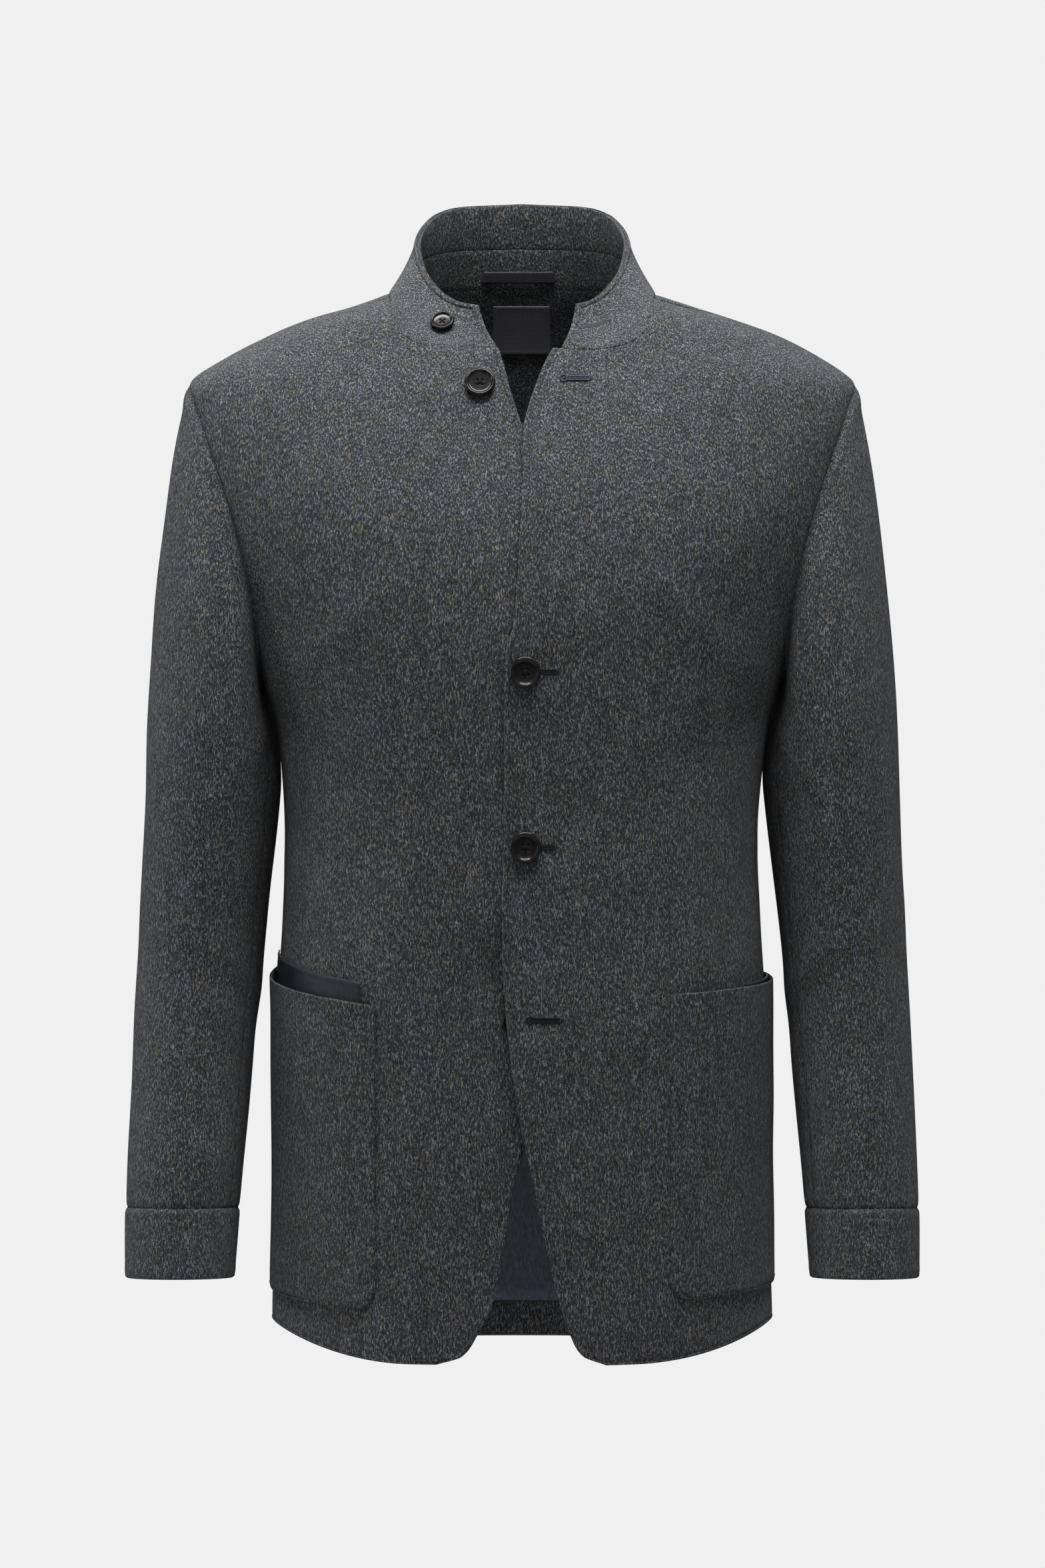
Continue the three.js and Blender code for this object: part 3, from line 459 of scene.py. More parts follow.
def cloth_piece(name, outer, wall, material, node, normals, line=None, trim=0.0, wrap=False):
    """A closed shell of cloth: the outer grid, the same grid moved in by the wall less twice the trim that
    rounds its edges, and a rim half way that stands out by a share of half the wall."""
    across, along = outer.shape[:2]
    inner = outer - normals * (wall + 2 * np.broadcast_to(trim, outer.shape[:2]))[..., None]
    faces, rim = shell_faces(across, along, wrap)
    flat_outer, flat_inner = outer.reshape(-1, 3), inner.reshape(-1, 3)
    middle = (flat_outer[rim] + flat_inner[rim]) / 2
    index = np.arange(across * along).reshape(across, along)
    inward = index.copy()
    if not wrap:
        inward[0], inward[-1] = index[1], index[-2]
    inward[:, 0], inward[:, -1] = inward[:, 1], inward[:, -2]
    away = unit(middle - (flat_outer[inward.ravel()[rim]] + flat_inner[inward.ravel()[rim]]) / 2)
    middle = middle + away * RIM_BULGE * wall * 0.5
    points = np.concatenate([flat_outer, flat_inner, middle])
    if line is not None:
        line = np.concatenate([line.ravel(), np.full(len(flat_inner) + len(middle), FAR)])
    return mesh_piece(name, points, faces, material, node, line)


# Materials

def node(tree, kind, inputs=None, **settings):
    """Adds a node with its settings; an input is a value, or another node's output to link."""
    made = tree.nodes.new(kind)
    for key, value in settings.items():
        setattr(made, key, value)
    for key, value in (inputs or {}).items():
        socket = made.inputs[key]
        if isinstance(value, bpy.types.NodeSocket):
            tree.links.new(value, socket)
        else:
            socket.default_value = value
    return made


def empty_material(name):
    """A new material with its tree, shader and object coordinates."""
    made = bpy.data.materials.new(name)
    made.use_nodes = True
    tree = made.node_tree
    tree.nodes.clear()
    shader = node(tree, "ShaderNodeBsdfPrincipled")
    output = node(tree, "ShaderNodeOutputMaterial")
    tree.links.new(shader.outputs[0], output.inputs[0])
    place = node(tree, "ShaderNodeTexCoord").outputs["Object"]
    return made, tree, shader, place


def two_tones(tree, factor, low, high, colours):
    """A colour ramp from the first colour to the second between two shares of a pattern."""
    ramp = node(tree, "ShaderNodeValToRGB", {"Fac": factor})
    for stop, at, colour in zip(ramp.color_ramp.elements, (low, high), colours):
        stop.position, stop.color = at, linear(colour)
    return ramp.outputs[0]


def wool(name, dark, middle, light, brown):
    """Brushed melange wool: dark and pale fibres carded together, raised to a short nap that lies down
    the cloth. Tufts and pale flecks are long noise, drawn out along the nap; a slower noise turns some
    flecks warm; the nap stands as relief and as a grazing sheen."""
    made, tree, shader, place = empty_material(name)
    # Fibres are 0.02 mm thick in life, too fine to show; the tufts they lie in are drawn, about 0.7 mm
    # wide and 3 mm long.
    lain = node(tree, "ShaderNodeMapping", {"Vector": place, "Scale": (1, 1, 0.26)}).outputs[0]
    tufts, flecks, clouds = (
        node(tree, "ShaderNodeTexNoise", {
            "Vector": lain, "Scale": scale, "Detail": detail, "Roughness": rough,
        })
        for scale, detail, rough in ((1900.0, 2.0, 0.6), (1350.0, 3.0, 0.75), (110.0, 4.0, 0.6))
    )
    dyed = node(tree, "ShaderNodeTexNoise", {"Vector": lain, "Scale": 520.0, "Detail": 1.0})
    body = two_tones(tree, tufts.outputs["Fac"], 0.38, 0.62, (dark, middle))
    tint = two_tones(tree, dyed.outputs["Fac"], 0.48, 0.6, (light, brown))
    pale = node(tree, "ShaderNodeMapRange", {
        "Value": flecks.outputs["Fac"], "From Min": 0.5, "From Max": 0.68, "To Min": 0.0, "To Max": 0.8,
    }).outputs[0]
    melange = node(tree, "ShaderNodeMix", {"Factor": pale, 6: body, 7: tint}, data_type="RGBA").outputs[2]
    shade = node(tree, "ShaderNodeMapRange", {
        "Value": clouds.outputs["Fac"], "From Min": 0.3, "From Max": 0.7, "To Min": 0.86, "To Max": 1.14,
    }).outputs[0]
    napped = node(tree, "ShaderNodeVectorMath", {0: melange, 1: shade}, operation="MULTIPLY").outputs[0]
    # A sewn line is drawn in as a groove 1.6 mm wide in the relief, and as painted shade that darkens the
    # colour along it by up to a fifth.
    line = node(tree, "ShaderNodeAttribute", attribute_name="sewn_line").outputs["Fac"]
    near = node(tree, "ShaderNodeMath", {0: line, 1: 0.8}, operation="DIVIDE").outputs[0]
    square = node(tree, "ShaderNodeMath", {0: near, 1: near}, operation="MULTIPLY").outputs[0]
    fall = node(tree, "ShaderNodeMath", {0: square, 1: -1.0}, operation="MULTIPLY").outputs[0]
    sewn = node(tree, "ShaderNodeMath", {0: fall}, operation="EXPONENT").outputs[0]
    # Painted shade: held falls from 1 to 0.8 towards the middle of a sewn line, and darkens the wool's
    # colour by that much.
    held = node(tree, "ShaderNodeMapRange", {"Value": sewn, "To Min": 1.0, "To Max": 0.8}).outputs[0]
    colour = node(tree, "ShaderNodeVectorMath", {0: napped, 1: held}, operation="MULTIPLY").outputs[0]
    nap = node(tree, "ShaderNodeBump", {
        "Height": flecks.outputs["Fac"], "Strength": 0.85, "Distance": 0.0012,
    })
    lift = node(tree, "ShaderNodeMath", {0: sewn, 1: -1.0}, operation="MULTIPLY").outputs[0]
    relief = node(tree, "ShaderNodeBump", {
        "Height": lift, "Strength": 0.6, "Distance": 0.0004, "Normal": nap.outputs[0],
    })
    tree.links.new(colour, shader.inputs["Base Color"])
    tree.links.new(relief.outputs[0], shader.inputs["Normal"])
    shader.inputs["Roughness"].default_value = 0.95
    shader.inputs["IOR"].default_value = 1.01
    shader.inputs["Sheen Weight"].default_value = 0.01
    shader.inputs["Sheen Roughness"].default_value = 0.4
    shader.inputs["Sheen Tint"].default_value = linear("d8dade")
    return made


def satin(name, dark, light):
    """Woven viscose satin: smooth floats that catch a soft broad highlight, with fine slanted ribs."""
    made, tree, shader, place = empty_material(name)
    slant = node(tree, "ShaderNodeMapping", {
        "Vector": place, "Rotation": (0, 0.6, 0), "Scale": (1, 1, 0.15),
    }).outputs[0]
    # Satin threads are 0.1 mm; the ribs are drawn at 0.6 mm so that they show.
    threads = node(tree, "ShaderNodeTexNoise", {"Vector": slant, "Scale": 1600.0, "Detail": 2.0})
    slack = node(tree, "ShaderNodeTexNoise", {"Vector": place, "Scale": 22.0, "Detail": 2.0})
    colour = two_tones(tree, threads.outputs["Fac"], 0.35, 0.65, (dark, light))
    fine = node(tree, "ShaderNodeBump", {
        "Height": threads.outputs["Fac"], "Strength": 0.25, "Distance": 0.0002,
    })
    soft = node(tree, "ShaderNodeBump", {
        "Height": slack.outputs["Fac"], "Strength": 0.35, "Distance": 0.004, "Normal": fine.outputs[0],
    })
    tree.links.new(colour, shader.inputs["Base Color"])
    tree.links.new(soft.outputs[0], shader.inputs["Normal"])
    shader.inputs["Roughness"].default_value = 0.5
    shader.inputs["IOR"].default_value = 1.05
    return made


def ribbon(name, dark, light, weave_mm, roughness):
    """Woven polyester ribbon: fine crossed threads, raised in relief, whose crowns are painted lighter as a
    dull painted highlight.
    """
    made, tree, shader, place = empty_material(name)
    # A wave runs through 6.28 bands in a length of one at a scale of one.
    scale = 1000.0 / weave_mm / 6.28
    warp, weft = (
        node(tree, "ShaderNodeTexWave", {"Vector": place, "Scale": scale, "Distortion": 0.6},
             bands_direction=way).outputs["Fac"]
        for way in "XZ"
    )
    crossed = node(tree, "ShaderNodeMath", {0: warp, 1: weft}, operation="MULTIPLY").outputs[0]
    # The crowns, where both threads rise, are painted lighter: a painted highlight.
    colour = two_tones(tree, crossed, 0.1, 0.7, (dark, light))
    relief = node(tree, "ShaderNodeBump", {"Height": crossed, "Strength": 0.4, "Distance": 0.0002})
    tree.links.new(colour, shader.inputs["Base Color"])
    tree.links.new(relief.outputs[0], shader.inputs["Normal"])
    shader.inputs["Roughness"].default_value = roughness
    shader.inputs["Specular IOR Level"].default_value = 0.03
    return made


def horn(name):
    """Turned and polished dark horn: near black with brown streaks along its growth, a hard gloss, and
    fine turning marks."""
    made, tree, shader, place = empty_material(name)
    grown = node(tree, "ShaderNodeMapping", {
        "Vector": place, "Rotation": (0, 0.5, 0), "Scale": (1, 1, 0.25),
    }).outputs[0]
    streaks = node(tree, "ShaderNodeTexNoise", {
        "Vector": grown, "Scale": 420.0, "Detail": 5.0, "Roughness": 0.6,
    })
    colour = two_tones(tree, streaks.outputs["Fac"], 0.5, 0.85, ("030303", "0c0806"))
    marks = node(tree, "ShaderNodeBump", {
        "Height": streaks.outputs["Fac"], "Strength": 0.04, "Distance": 0.0002,
    })
    tree.links.new(colour, shader.inputs["Base Color"])
    tree.links.new(marks.outputs[0], shader.inputs["Normal"])
    shader.inputs["Roughness"].default_value = 0.16
    shader.inputs["IOR"].default_value = 1.08
    return made


def thread(name, dark, light):
    """Spun polyester sewing thread: a dull twist of 0.3 mm."""
    made, tree, shader, place = empty_material(name)
    twist = node(tree, "ShaderNodeTexNoise", {"Vector": place, "Scale": 3000.0, "Detail": 1.0})
    colour = two_tones(tree, twist.outputs["Fac"], 0.35, 0.65, (dark, light))
    relief = node(tree, "ShaderNodeBump", {
        "Height": twist.outputs["Fac"], "Strength": 0.5, "Distance": 0.0001,
    })
    tree.links.new(colour, shader.inputs["Base Color"])
    tree.links.new(relief.outputs[0], shader.inputs["Normal"])
    shader.inputs["Roughness"].default_value = 0.8
    shader.inputs["IOR"].default_value = 1.05
    return made


body_wool = wool("brushed_melange_wool", "060707", "0e0f10", "323337", "34312c")
lining_satin = satin("viscose_satin_lining", "0d0d10", "17181d")
strip_satin = satin("satin_pocket_strip", "060708", "0b0c0f")
loop_ribbon = ribbon("grosgrain_ribbon", "050506", "0c0c0d", 0.5, 0.6)
label_ribbon = ribbon("woven_label_ribbon", "0d0d0e", "1d1d1f", 0.45, 0.62)
button_horn = horn("polished_dark_horn")
hole_thread = thread("buttonhole_twist", "020202", "060607")
top_thread = thread("wool_coloured_thread", "0a0b0c", "151619")


# The body panels

DARTS = {"left": ((95.6, -392), (102.2, -481)), "right": ((118.0, -392), (107.6, -470))}


def to_line(x, z, ends):
    """Distance in the front view from a straight line between two (x, z) ends."""
    (x0, z0), (x1, z1) = ends
    share = np.clip(((x - x0) * (x1 - x0) + (z - z0) * (z1 - z0)) / ((x1 - x0) ** 2 + (z1 - z0) ** 2), 0, 1)
    return np.hypot(x - mix(x0, x1, share), z - mix(z0, z1, share))


# Soft folds: the two (x, z) ends in the wearer's own half, the height, and the width of the bell.
FRONT_FOLDS = {
    "left": [((150, -262), (92, -205), 1.3, 11), ((162, -292), (120, -330), -0.9, 12),
             ((40, -560), (46, -712), 0.8, 16), ((120, -430), (150, -380), 0.8, 12),
             ((8, -515), (16, -516), 1.3, 8), ((10, -281), (20, -283), 1.0, 9),
             ((10, -398), (20, -400), 1.0, 9)],
    "right": [((146, -258), (96, -212), 1.1, 12), ((164, -296), (118, -340), -1.0, 12),
              ((44, -590), (52, -714), 0.9, 15), ((122, -440), (152, -392), 0.7, 12)],
}


def slack(points, seed):
    """The slight unevenness of cloth on its own: a sum of slow waves over the form, with fixed phases
    from the seed, 0.25 mm high each."""
    rng = np.random.default_rng(seed)
    total = np.zeros(points.shape[:-1])
    for wavelength in (210.0, 150.0, 118.0, 84.0, 63.0):
        direction = unit(rng.normal(size=3) * np.array([1, 0.8, 0.6]))
        total += 0.25 * np.sin(2 * np.pi * points @ direction / wavelength + rng.uniform(0, 2 * np.pi))
    return total


def panel_rows():
    """Row shares of a panel: hem to the yoke level, then up to the neck and shoulder seams."""
    low = spread(PANEL_LOW, 4.2, ends=False)
    high = 1 + spread(PANEL_HIGH, 3.6, starts=False, keep=(YOKE_SIDE_SHARE,))
    return np.concatenate([low, high[1:]])


def build_front(word):
    """A front: the mapped form with its rounded and stitched free edge, sewn seams, dart and folds."""
    side = SIDES[word]
    s, t = spread(PANEL_WIDE, 3.4, keep=(NECK_SHARE,)), panel_rows()
    phi, z = front_maps[word](s[:, None], t[None, :])
    base, normals = section(phi, z), body_normal(phi, z)
    start, end, low, high = edges_of(base)
    free = np.minimum(start, low)
    x = base[..., 0]
    raised = seam(np.minimum(end, high)) + groove(free, STITCH_INSET)
    raised += slack(base, 3 + side) * smoothstep(end / 25)
    for near, far, tall, wide in FRONT_FOLDS[word]:
        raised += tall * bell(to_line(x, z, (near, far)), wide)
    dart = to_line(x, z, DARTS[word])
    raised -= 0.7 * bell(dart, 6)
    if word == "right":
        raised += right_sink(phi, z)
    trim = rounded(free)
    outer = base + normals * (raised + trim)[..., None]
    line = np.minimum.reduce([np.abs(free - STITCH_INSET), dart, end, high])
    cloth_piece(f"wool_front_{word}", mirrored(outer, side), CLOTH_WALL, body_wool, f"front_{word}",
                mirrored(normals, side), line, trim)


def back_grid(s, t, out):
    """The whole back's form at grid shares, both halves, moved out: points, normals and seam distances."""
    phi, z = back_map(s[:, None], t[None, :])
    base, normals = section(phi, z), body_normal(phi, z)
    out = np.broadcast_to(out, phi.shape)
    both = lambda half: np.concatenate([mirrored(half[:0:-1], -1), half])
    distances = edges_of(base)
    ends = [np.concatenate([d[:0:-1], d]) for d in distances]
    return both(base + normals * out[..., None]), both(normals), ends


def build_back():
    """The back in one piece, its lining, the strip inside its hem and the facing inside its neck."""
    s, t = spread(PANEL_WIDE, 3.4, starts=False, keep=(NECK_SHARE,)), panel_rows()
    outer, normals, (_, end, low, high) = back_grid(s, t, 0.0)
    trim = rounded(low)
    raised = seam(np.minimum(end, high)) + slack(outer, 11) * smoothstep(end / 25) + trim
    cloth_piece("wool_back", outer + normals * raised[..., None], CLOTH_WALL, body_wool, "back",
                normals, np.minimum(end, high), trim)
    inside = -(CLOTH_WALL + SEAM_GAP)
    hem_top, facing_row, facing_reach = (2 / 12) ** 1.63, 1.69, 0.315
    rows = np.linspace(hem_top + 0.0006, facing_row - 0.001, 70)
    skin, away, (_, end, low, high) = back_grid(np.linspace(0, 1, 40), rows, inside - LINING_WALL)
    pleat = 0.5 * slack(skin, 5)
    lining = skin + away * (seam(end, 0.9) + np.minimum(pleat, 0.2) - 0.25)[..., None]
    cloth_piece("satin_back_lining", lining, LINING_WALL, lining_satin, "back_lining", -away)
    for name, replaced, shares, rows in (
        ("wool_hem_facing", "hem_facing", spread(PANEL_WIDE, 6, starts=False), spread(36, 3) * hem_top),
        ("wool_neck_facing", "neck_facing", spread(58, 3, starts=False) * facing_reach,
         facing_row + spread(80, 3) * (2 - facing_row)),
    ):
        skin, away, (_, end, low, high) = back_grid(shares, rows, inside - CLOTH_WALL)
        drop = seam(np.minimum(low, high), 0.5, 1.5) + seam(end, 0.4)
        cloth_piece(name, skin - away * drop[..., None], CLOTH_WALL, body_wool, replaced, -away)


# The sleeves

armhole_front, armhole_back = route(ARMHOLE["front"]), route(ARMHOLE["back"])


def armhole(turn):
    """The armhole by turn: 0 at the shoulder point, a quarter in front, a half at the underarm."""
    w = np.mod(turn, 1)
    return np.where((w <= 0.5)[..., None], armhole_front(1 - 2 * w), armhole_back(2 * w - 1))


def sleeve_ring(turn, z):
    """The sleeve's oval: centre plus half width times cosine and half depth times sine of the turn, its
    front tipped up a little."""
    angle = 2 * np.pi * turn
    back = -sleeve_deep(z) * np.sin(angle)
    out = sleeve_x(z) + sleeve_wide(z) * np.cos(angle)
    return np.stack([out, sleeve_y(z) + back, z - SLEEVE_TILT * back], -1)


def sleeve_point(turn, t):
    """The cap is a cubic Bezier from the armhole to the first ring, leaving the shoulder downward and
    out; below it the rings run down by level."""
    turn, t = np.broadcast_arrays(np.asarray(turn, float), np.asarray(t, float))
    angle = 2 * np.pi * turn
    place = armhole(turn)
    under = (1 - np.cos(angle)) / 2
    start = on_body(place[..., 0], place[..., 1], UNDERARM_CLEARANCE * under**2)
    end = sleeve_ring(turn, np.full(turn.shape, CAP_BOTTOM))
    below = unit(sleeve_ring(turn, np.full(turn.shape, CAP_BOTTOM - 20)) - end)
    leave = np.stack([0.05 + 0.17 * np.cos(angle), -0.3 * np.sin(angle), np.full(turn.shape, -0.95)], -1)
    leave = unit(leave)
    reach = np.linalg.norm(end - start, axis=-1, keepdims=True) / 3
    k = np.clip(t, 0, 1)[..., None]
    cap = (
        start * (1 - k) ** 3 + 3 * (start + leave * reach) * k * (1 - k) ** 2
        + 3 * (end - below * reach) * k**2 * (1 - k) + end * k**3
    )
    arm = sleeve_ring(turn, mix(CAP_BOTTOM, CUFF_TOP, t - 1))
    return np.where((t < 1)[..., None], cap, arm)


# Soft bends of the sleeve: turn, height at that turn, height gained per turn, height and width of the bell.
SLEEVE_FOLDS = [(0.27, -452, -160, 1.3, 13), (0.36, -478, -210, -1.1, 12), (0.6, -470, 120, 1.2, 14),
                (0.05, -420, 240, 0.5, 20), (0.3, -590, -120, 0.8, 11), (0.42, -300, 330, 1.2, 13),
                (0.58, -318, -280, 1.0, 13)]


def sleeve_slack(points, turn, z, seed):
    """Soft bends: bells across slanting lines of the sleeve, each fading a fifth of a turn away."""
    total = slack(points, seed)
    w = np.mod(turn, 1)
    for at, level, slope, tall, wide in SLEEVE_FOLDS:
        away = np.abs(w - at)
        away = np.minimum(away, 1 - away)
        signed = np.mod(w - at + 0.5, 1) - 0.5
        total += tall * bell(z - level - slope * signed, wide) * bell(away, 0.13)
    return total


def build_sleeve(word):
    """Upper and under sleeve, sewn along the fore and hind seams, and the cuff band below."""
    side = SIDES[word]
    t = np.concatenate([spread(CAP_LONG, 4.0, ends=False), 1 + spread(ARM_LONG, 4.0, starts=False)[1:]])
    for name, begin, finish, girth in (
        ("upper", HIND_SEAM - 1, FORE_SEAM, 268), ("under", FORE_SEAM, HIND_SEAM, 100),
    ):
        turn = mix(begin, finish, spread(girth, 3.6))
        base = sleeve_point(turn[:, None], t[None, :])
        start, end, low, high = edges_of(base)
        hole = armhole(turn)
        at_hole = body_normal(hole[:, 0], hole[:, 1])[:, None]
        normals = unit(mix(surface_normals(base), at_hole, (1 - smoothstep(low / 9))[..., None]))
        top = ((1 + np.cos(2 * np.pi * turn[:, None])) / 2) ** 2
        roping = 1.2 * top * bell(low - 9, 6) * smoothstep(low / 6)
        raised = seam(np.minimum(start, end), 0.9, 2) + seam(high) + seam(low) + roping
        raised = raised + sleeve_slack(base, turn[:, None], base[..., 2], 20 + side) * smoothstep(low / 40)
        outer = base + normals * raised[..., None]
        line = np.minimum.reduce([start, end, low, high])
        cloth_piece(f"wool_sleeve_{name}_{word}", mirrored(outer, side), CLOTH_WALL, body_wool,
                    f"sleeve_{name}_{word}", mirrored(normals, side), line)
    share = (CUFF_TOP - CUFF_BOTTOM) / (CAP_BOTTOM - CUFF_TOP)
    turn = np.linspace(0, 1, 97)[:-1]
    base = sleeve_point(turn[:, None], 2 + spread(CUFF_TOP - CUFF_BOTTOM, 2.6)[None, :] * share)
    closed = np.concatenate([base[-1:], base, base[:1]])
    normals = surface_normals(closed)[1:-1]
    _, _, low, high = edges_of(base)
    trim = rounded(high)
    raised = 0.6 * smoothstep(low / 3) + seam(low, 0.9, 1.6) + trim + 0.3 * bell(high - 5, 4)
    outer = base + normals * raised[..., None]
    cloth_piece(f"wool_cuff_{word}", mirrored(outer, side), CLOTH_WALL, body_wool, f"cuff_{word}",
                mirrored(normals, side), np.full(raised.shape, FAR), trim, wrap=True)


# The collar

def neck_half(word):
    """The neck seam's points from the centre back to a front's corner, with their running length."""
    shares = np.linspace(0, 1, 90)
    front = neck_front_to(FRONT_EDGE[word][-1])(shares[::-1])
    places = np.concatenate([neck_back(shares), front[1:]])
    points = section(places[:, 0], places[:, 1])
    return points, arc(points, 0)


neck_halves = {word: neck_half(word) for word in SIDES}


def collar_surface(u, v):
    """From the neck seam to an oval above it: u runs from the right front end (-1) over the centre back
    (0) to the left one (1), v from the seam (0) to the top edge (1), leaning in by 1 - (1 - v)^flare."""
    u, v = np.broadcast_arrays(np.asarray(u, float), np.asarray(v, float))
    total = np.zeros((*u.shape, 3))
    for word, side in SIDES.items():
        points, length = neck_halves[word]
        setback, top_turn = COLLAR_END[word]
        at = np.abs(u) * (length[-1] - setback)
        low = np.stack([np.interp(at, length, points[:, k]) for k in range(3)], -1)
        turn = top_turn * np.abs(u)
        depth = np.where(np.cos(np.radians(turn)) > 0, COLLAR_BACK, COLLAR_FRONT)
        angle = np.radians(turn)
        high = np.stack([COLLAR_SIDE * np.sin(angle), depth * np.cos(angle), collar_top(turn)], -1)
        lean = 1 - np.maximum(1 - v, 0) ** COLLAR_FLARE
        lean = np.stack([lean, lean, v], -1)
        total = np.where((u * side > 0)[..., None] | ((u == 0) & (side > 0))[..., None],
                         mirrored(mix(low, high, lean), side), total)
    return total


def collar_inward(u, v):
    """The collar's normal toward the neck, from its differences along u and v."""
    step, v = 0.01, np.clip(v, 0, 1)
    across = collar_surface(np.minimum(u + step, 1), v) - collar_surface(np.maximum(u - step, -1), v)
    along = collar_surface(u, np.minimum(v + step, 1)) - collar_surface(u, np.maximum(v - step, 0))
    return unit(np.cross(across, along))


def collar_grid(u, v, depth):
    """Collar points moved in by a depth, with their inward normals."""
    u, v = np.broadcast_arrays(u[:, None], v[None, :])
    inward = collar_inward(u, v)
    return collar_surface(u, v) + inward * np.asarray(depth)[..., None], inward


def build_collar():
    """The outer collar, and inside it the facing above and the band below."""
    u = 2 * spread(COLLAR_LONG, 3.2) - 1
    tucked = -0.03
    outer, inward = collar_grid(u, spread(COLLAR_TALL, 2.6), np.zeros(1))
    start, end, low, high = edges_of(outer)
    free = np.minimum(np.minimum(start, end), high)
    trim = rounded(free)
    raised = seam(low) + groove(free, STITCH_INSET, 0.25) + trim + 0.6 * slack(outer, 8)
    cloth_piece("wool_collar", outer - inward * raised[..., None], CLOTH_WALL, body_wool, "collar",
                -inward, np.abs(free - STITCH_INSET), trim)
    for name, replaced, rows in (
        ("wool_collar_facing", "collar_facing", mix(COLLAR_BAND_SHARE, 1, spread(31, 2.8))),
        ("wool_collar_band", "collar_band", mix(tucked, COLLAR_BAND_SHARE - 0.004, spread(25, 2.8))),
    ):
        skin, inward = collar_grid(u, rows, np.full(1, COLLAR_INSIDE + CLOTH_WALL))
        start, end, low, high = edges_of(skin)
        top = replaced == "collar_facing"
        free = np.minimum(np.minimum(start, end), high if top else np.full_like(high, FAR))
        trim = rounded(free)
        sewn = seam(low, 0.35, 1.6) + (0 if top else seam(high, 0.35, 1.6))
        cloth_piece(name, skin + inward * (sewn + trim)[..., None], CLOTH_WALL, body_wool, replaced,
                    inward, np.full(trim.shape, FAR), trim)


def build_loop_and_label():
    """The hanger loop of ribbed ribbon, bowed off the band, and the bare woven label below it."""
    long, middle, wide, thick, above, seat, bow = 55.0, -2.5, 8.0, 0.8, 3.0, 0.8, 1.4
    whole = neck_halves["left"][1][-1]
    tall = np.linalg.norm(collar_surface(0.0, 1.0) - collar_surface(0.0, 0.0))
    share = np.linspace(0, 1, 221)
    ribs = 0.14 * np.sin(2 * np.pi * share * long / 1.15)
    ends = -0.5 * (bell(share, 0.03) + bell(share - 1, 0.03))
    out = 2 * (CLOTH_WALL + SEAM_GAP) + seat - SEAM_GAP + bow * np.sin(np.pi * share) + thick + ribs + ends
    rows = 9
    u, v = (middle + long * (share - 0.5)) / whole, np.linspace(above, above + wide, rows) / tall
    skin, inward = collar_grid(u, v, np.repeat(out[:, None], rows, 1))
    cloth_piece("ribbed_hanger_loop", skin, thick, loop_ribbon, "hanger_loop", inward)
    left, right, bottom, top, seat, thick = -21.0, 20.0, -33.0, 0.0, 0.9, 0.5
    x, z = mix(left, right, spread(41, 1.6))[:, None], mix(bottom, top, spread(33, 1.6))[None, :]
    x, z = np.broadcast_arrays(x, z)
    phi = 180 - angle_at(x, z)
    under = -(CLOTH_WALL + SEAM_GAP) - CLOTH_WALL - seat - thick
    skin, away = on_body(phi, z, np.full(phi.shape, under)), body_normal(phi, z)
    free = np.minimum.reduce(edges_of(skin))
    fold = 0.18 * bell(free - 1.6, 1.2) - 0.1 * bell(free, 0.5)
    skin = skin - away * fold[..., None]
    cloth_piece("bare_woven_label", skin, thick, label_ribbon, "label", -away)


# The pockets

def pocket_level(front, at_side, phi):
    """A level that runs straight by angle from the pocket's front edge to the body's side."""
    start = angle_at(POCKET_FRONT, front)
    return mix(front, at_side, (phi - start) / (90 - start))


def pocket_place(word, s, t):
    """Angle and height at the pocket's shares: from a front edge with a rounded lower corner to the side
    seam, and from the bottom to the slanted mouth."""
    mouth_front, mouth_side, bottom_front, bottom_side = POCKET[word][:4]
    level = mix(bottom_front, mouth_front, t)
    rise = np.clip(level - bottom_front, 0, POCKET_CORNER)
    rounding = POCKET_CORNER - np.sqrt(POCKET_CORNER**2 - (POCKET_CORNER - rise) ** 2)
    start = angle_at(POCKET_FRONT + rounding, level)
    phi = mix(start, side_angle(level) - POCKET_SETBACK, s)
    z = mix(pocket_level(bottom_front, bottom_side, phi), pocket_level(mouth_front, mouth_side, phi), t)
    return phi, z


def pocket_bow(word, s, t):
    """How far the pocket stands off the front: most at the mouth, a third of the way back."""
    return POCKET[word][4] * HUMP * s * (1 - s) ** 2 * t**3


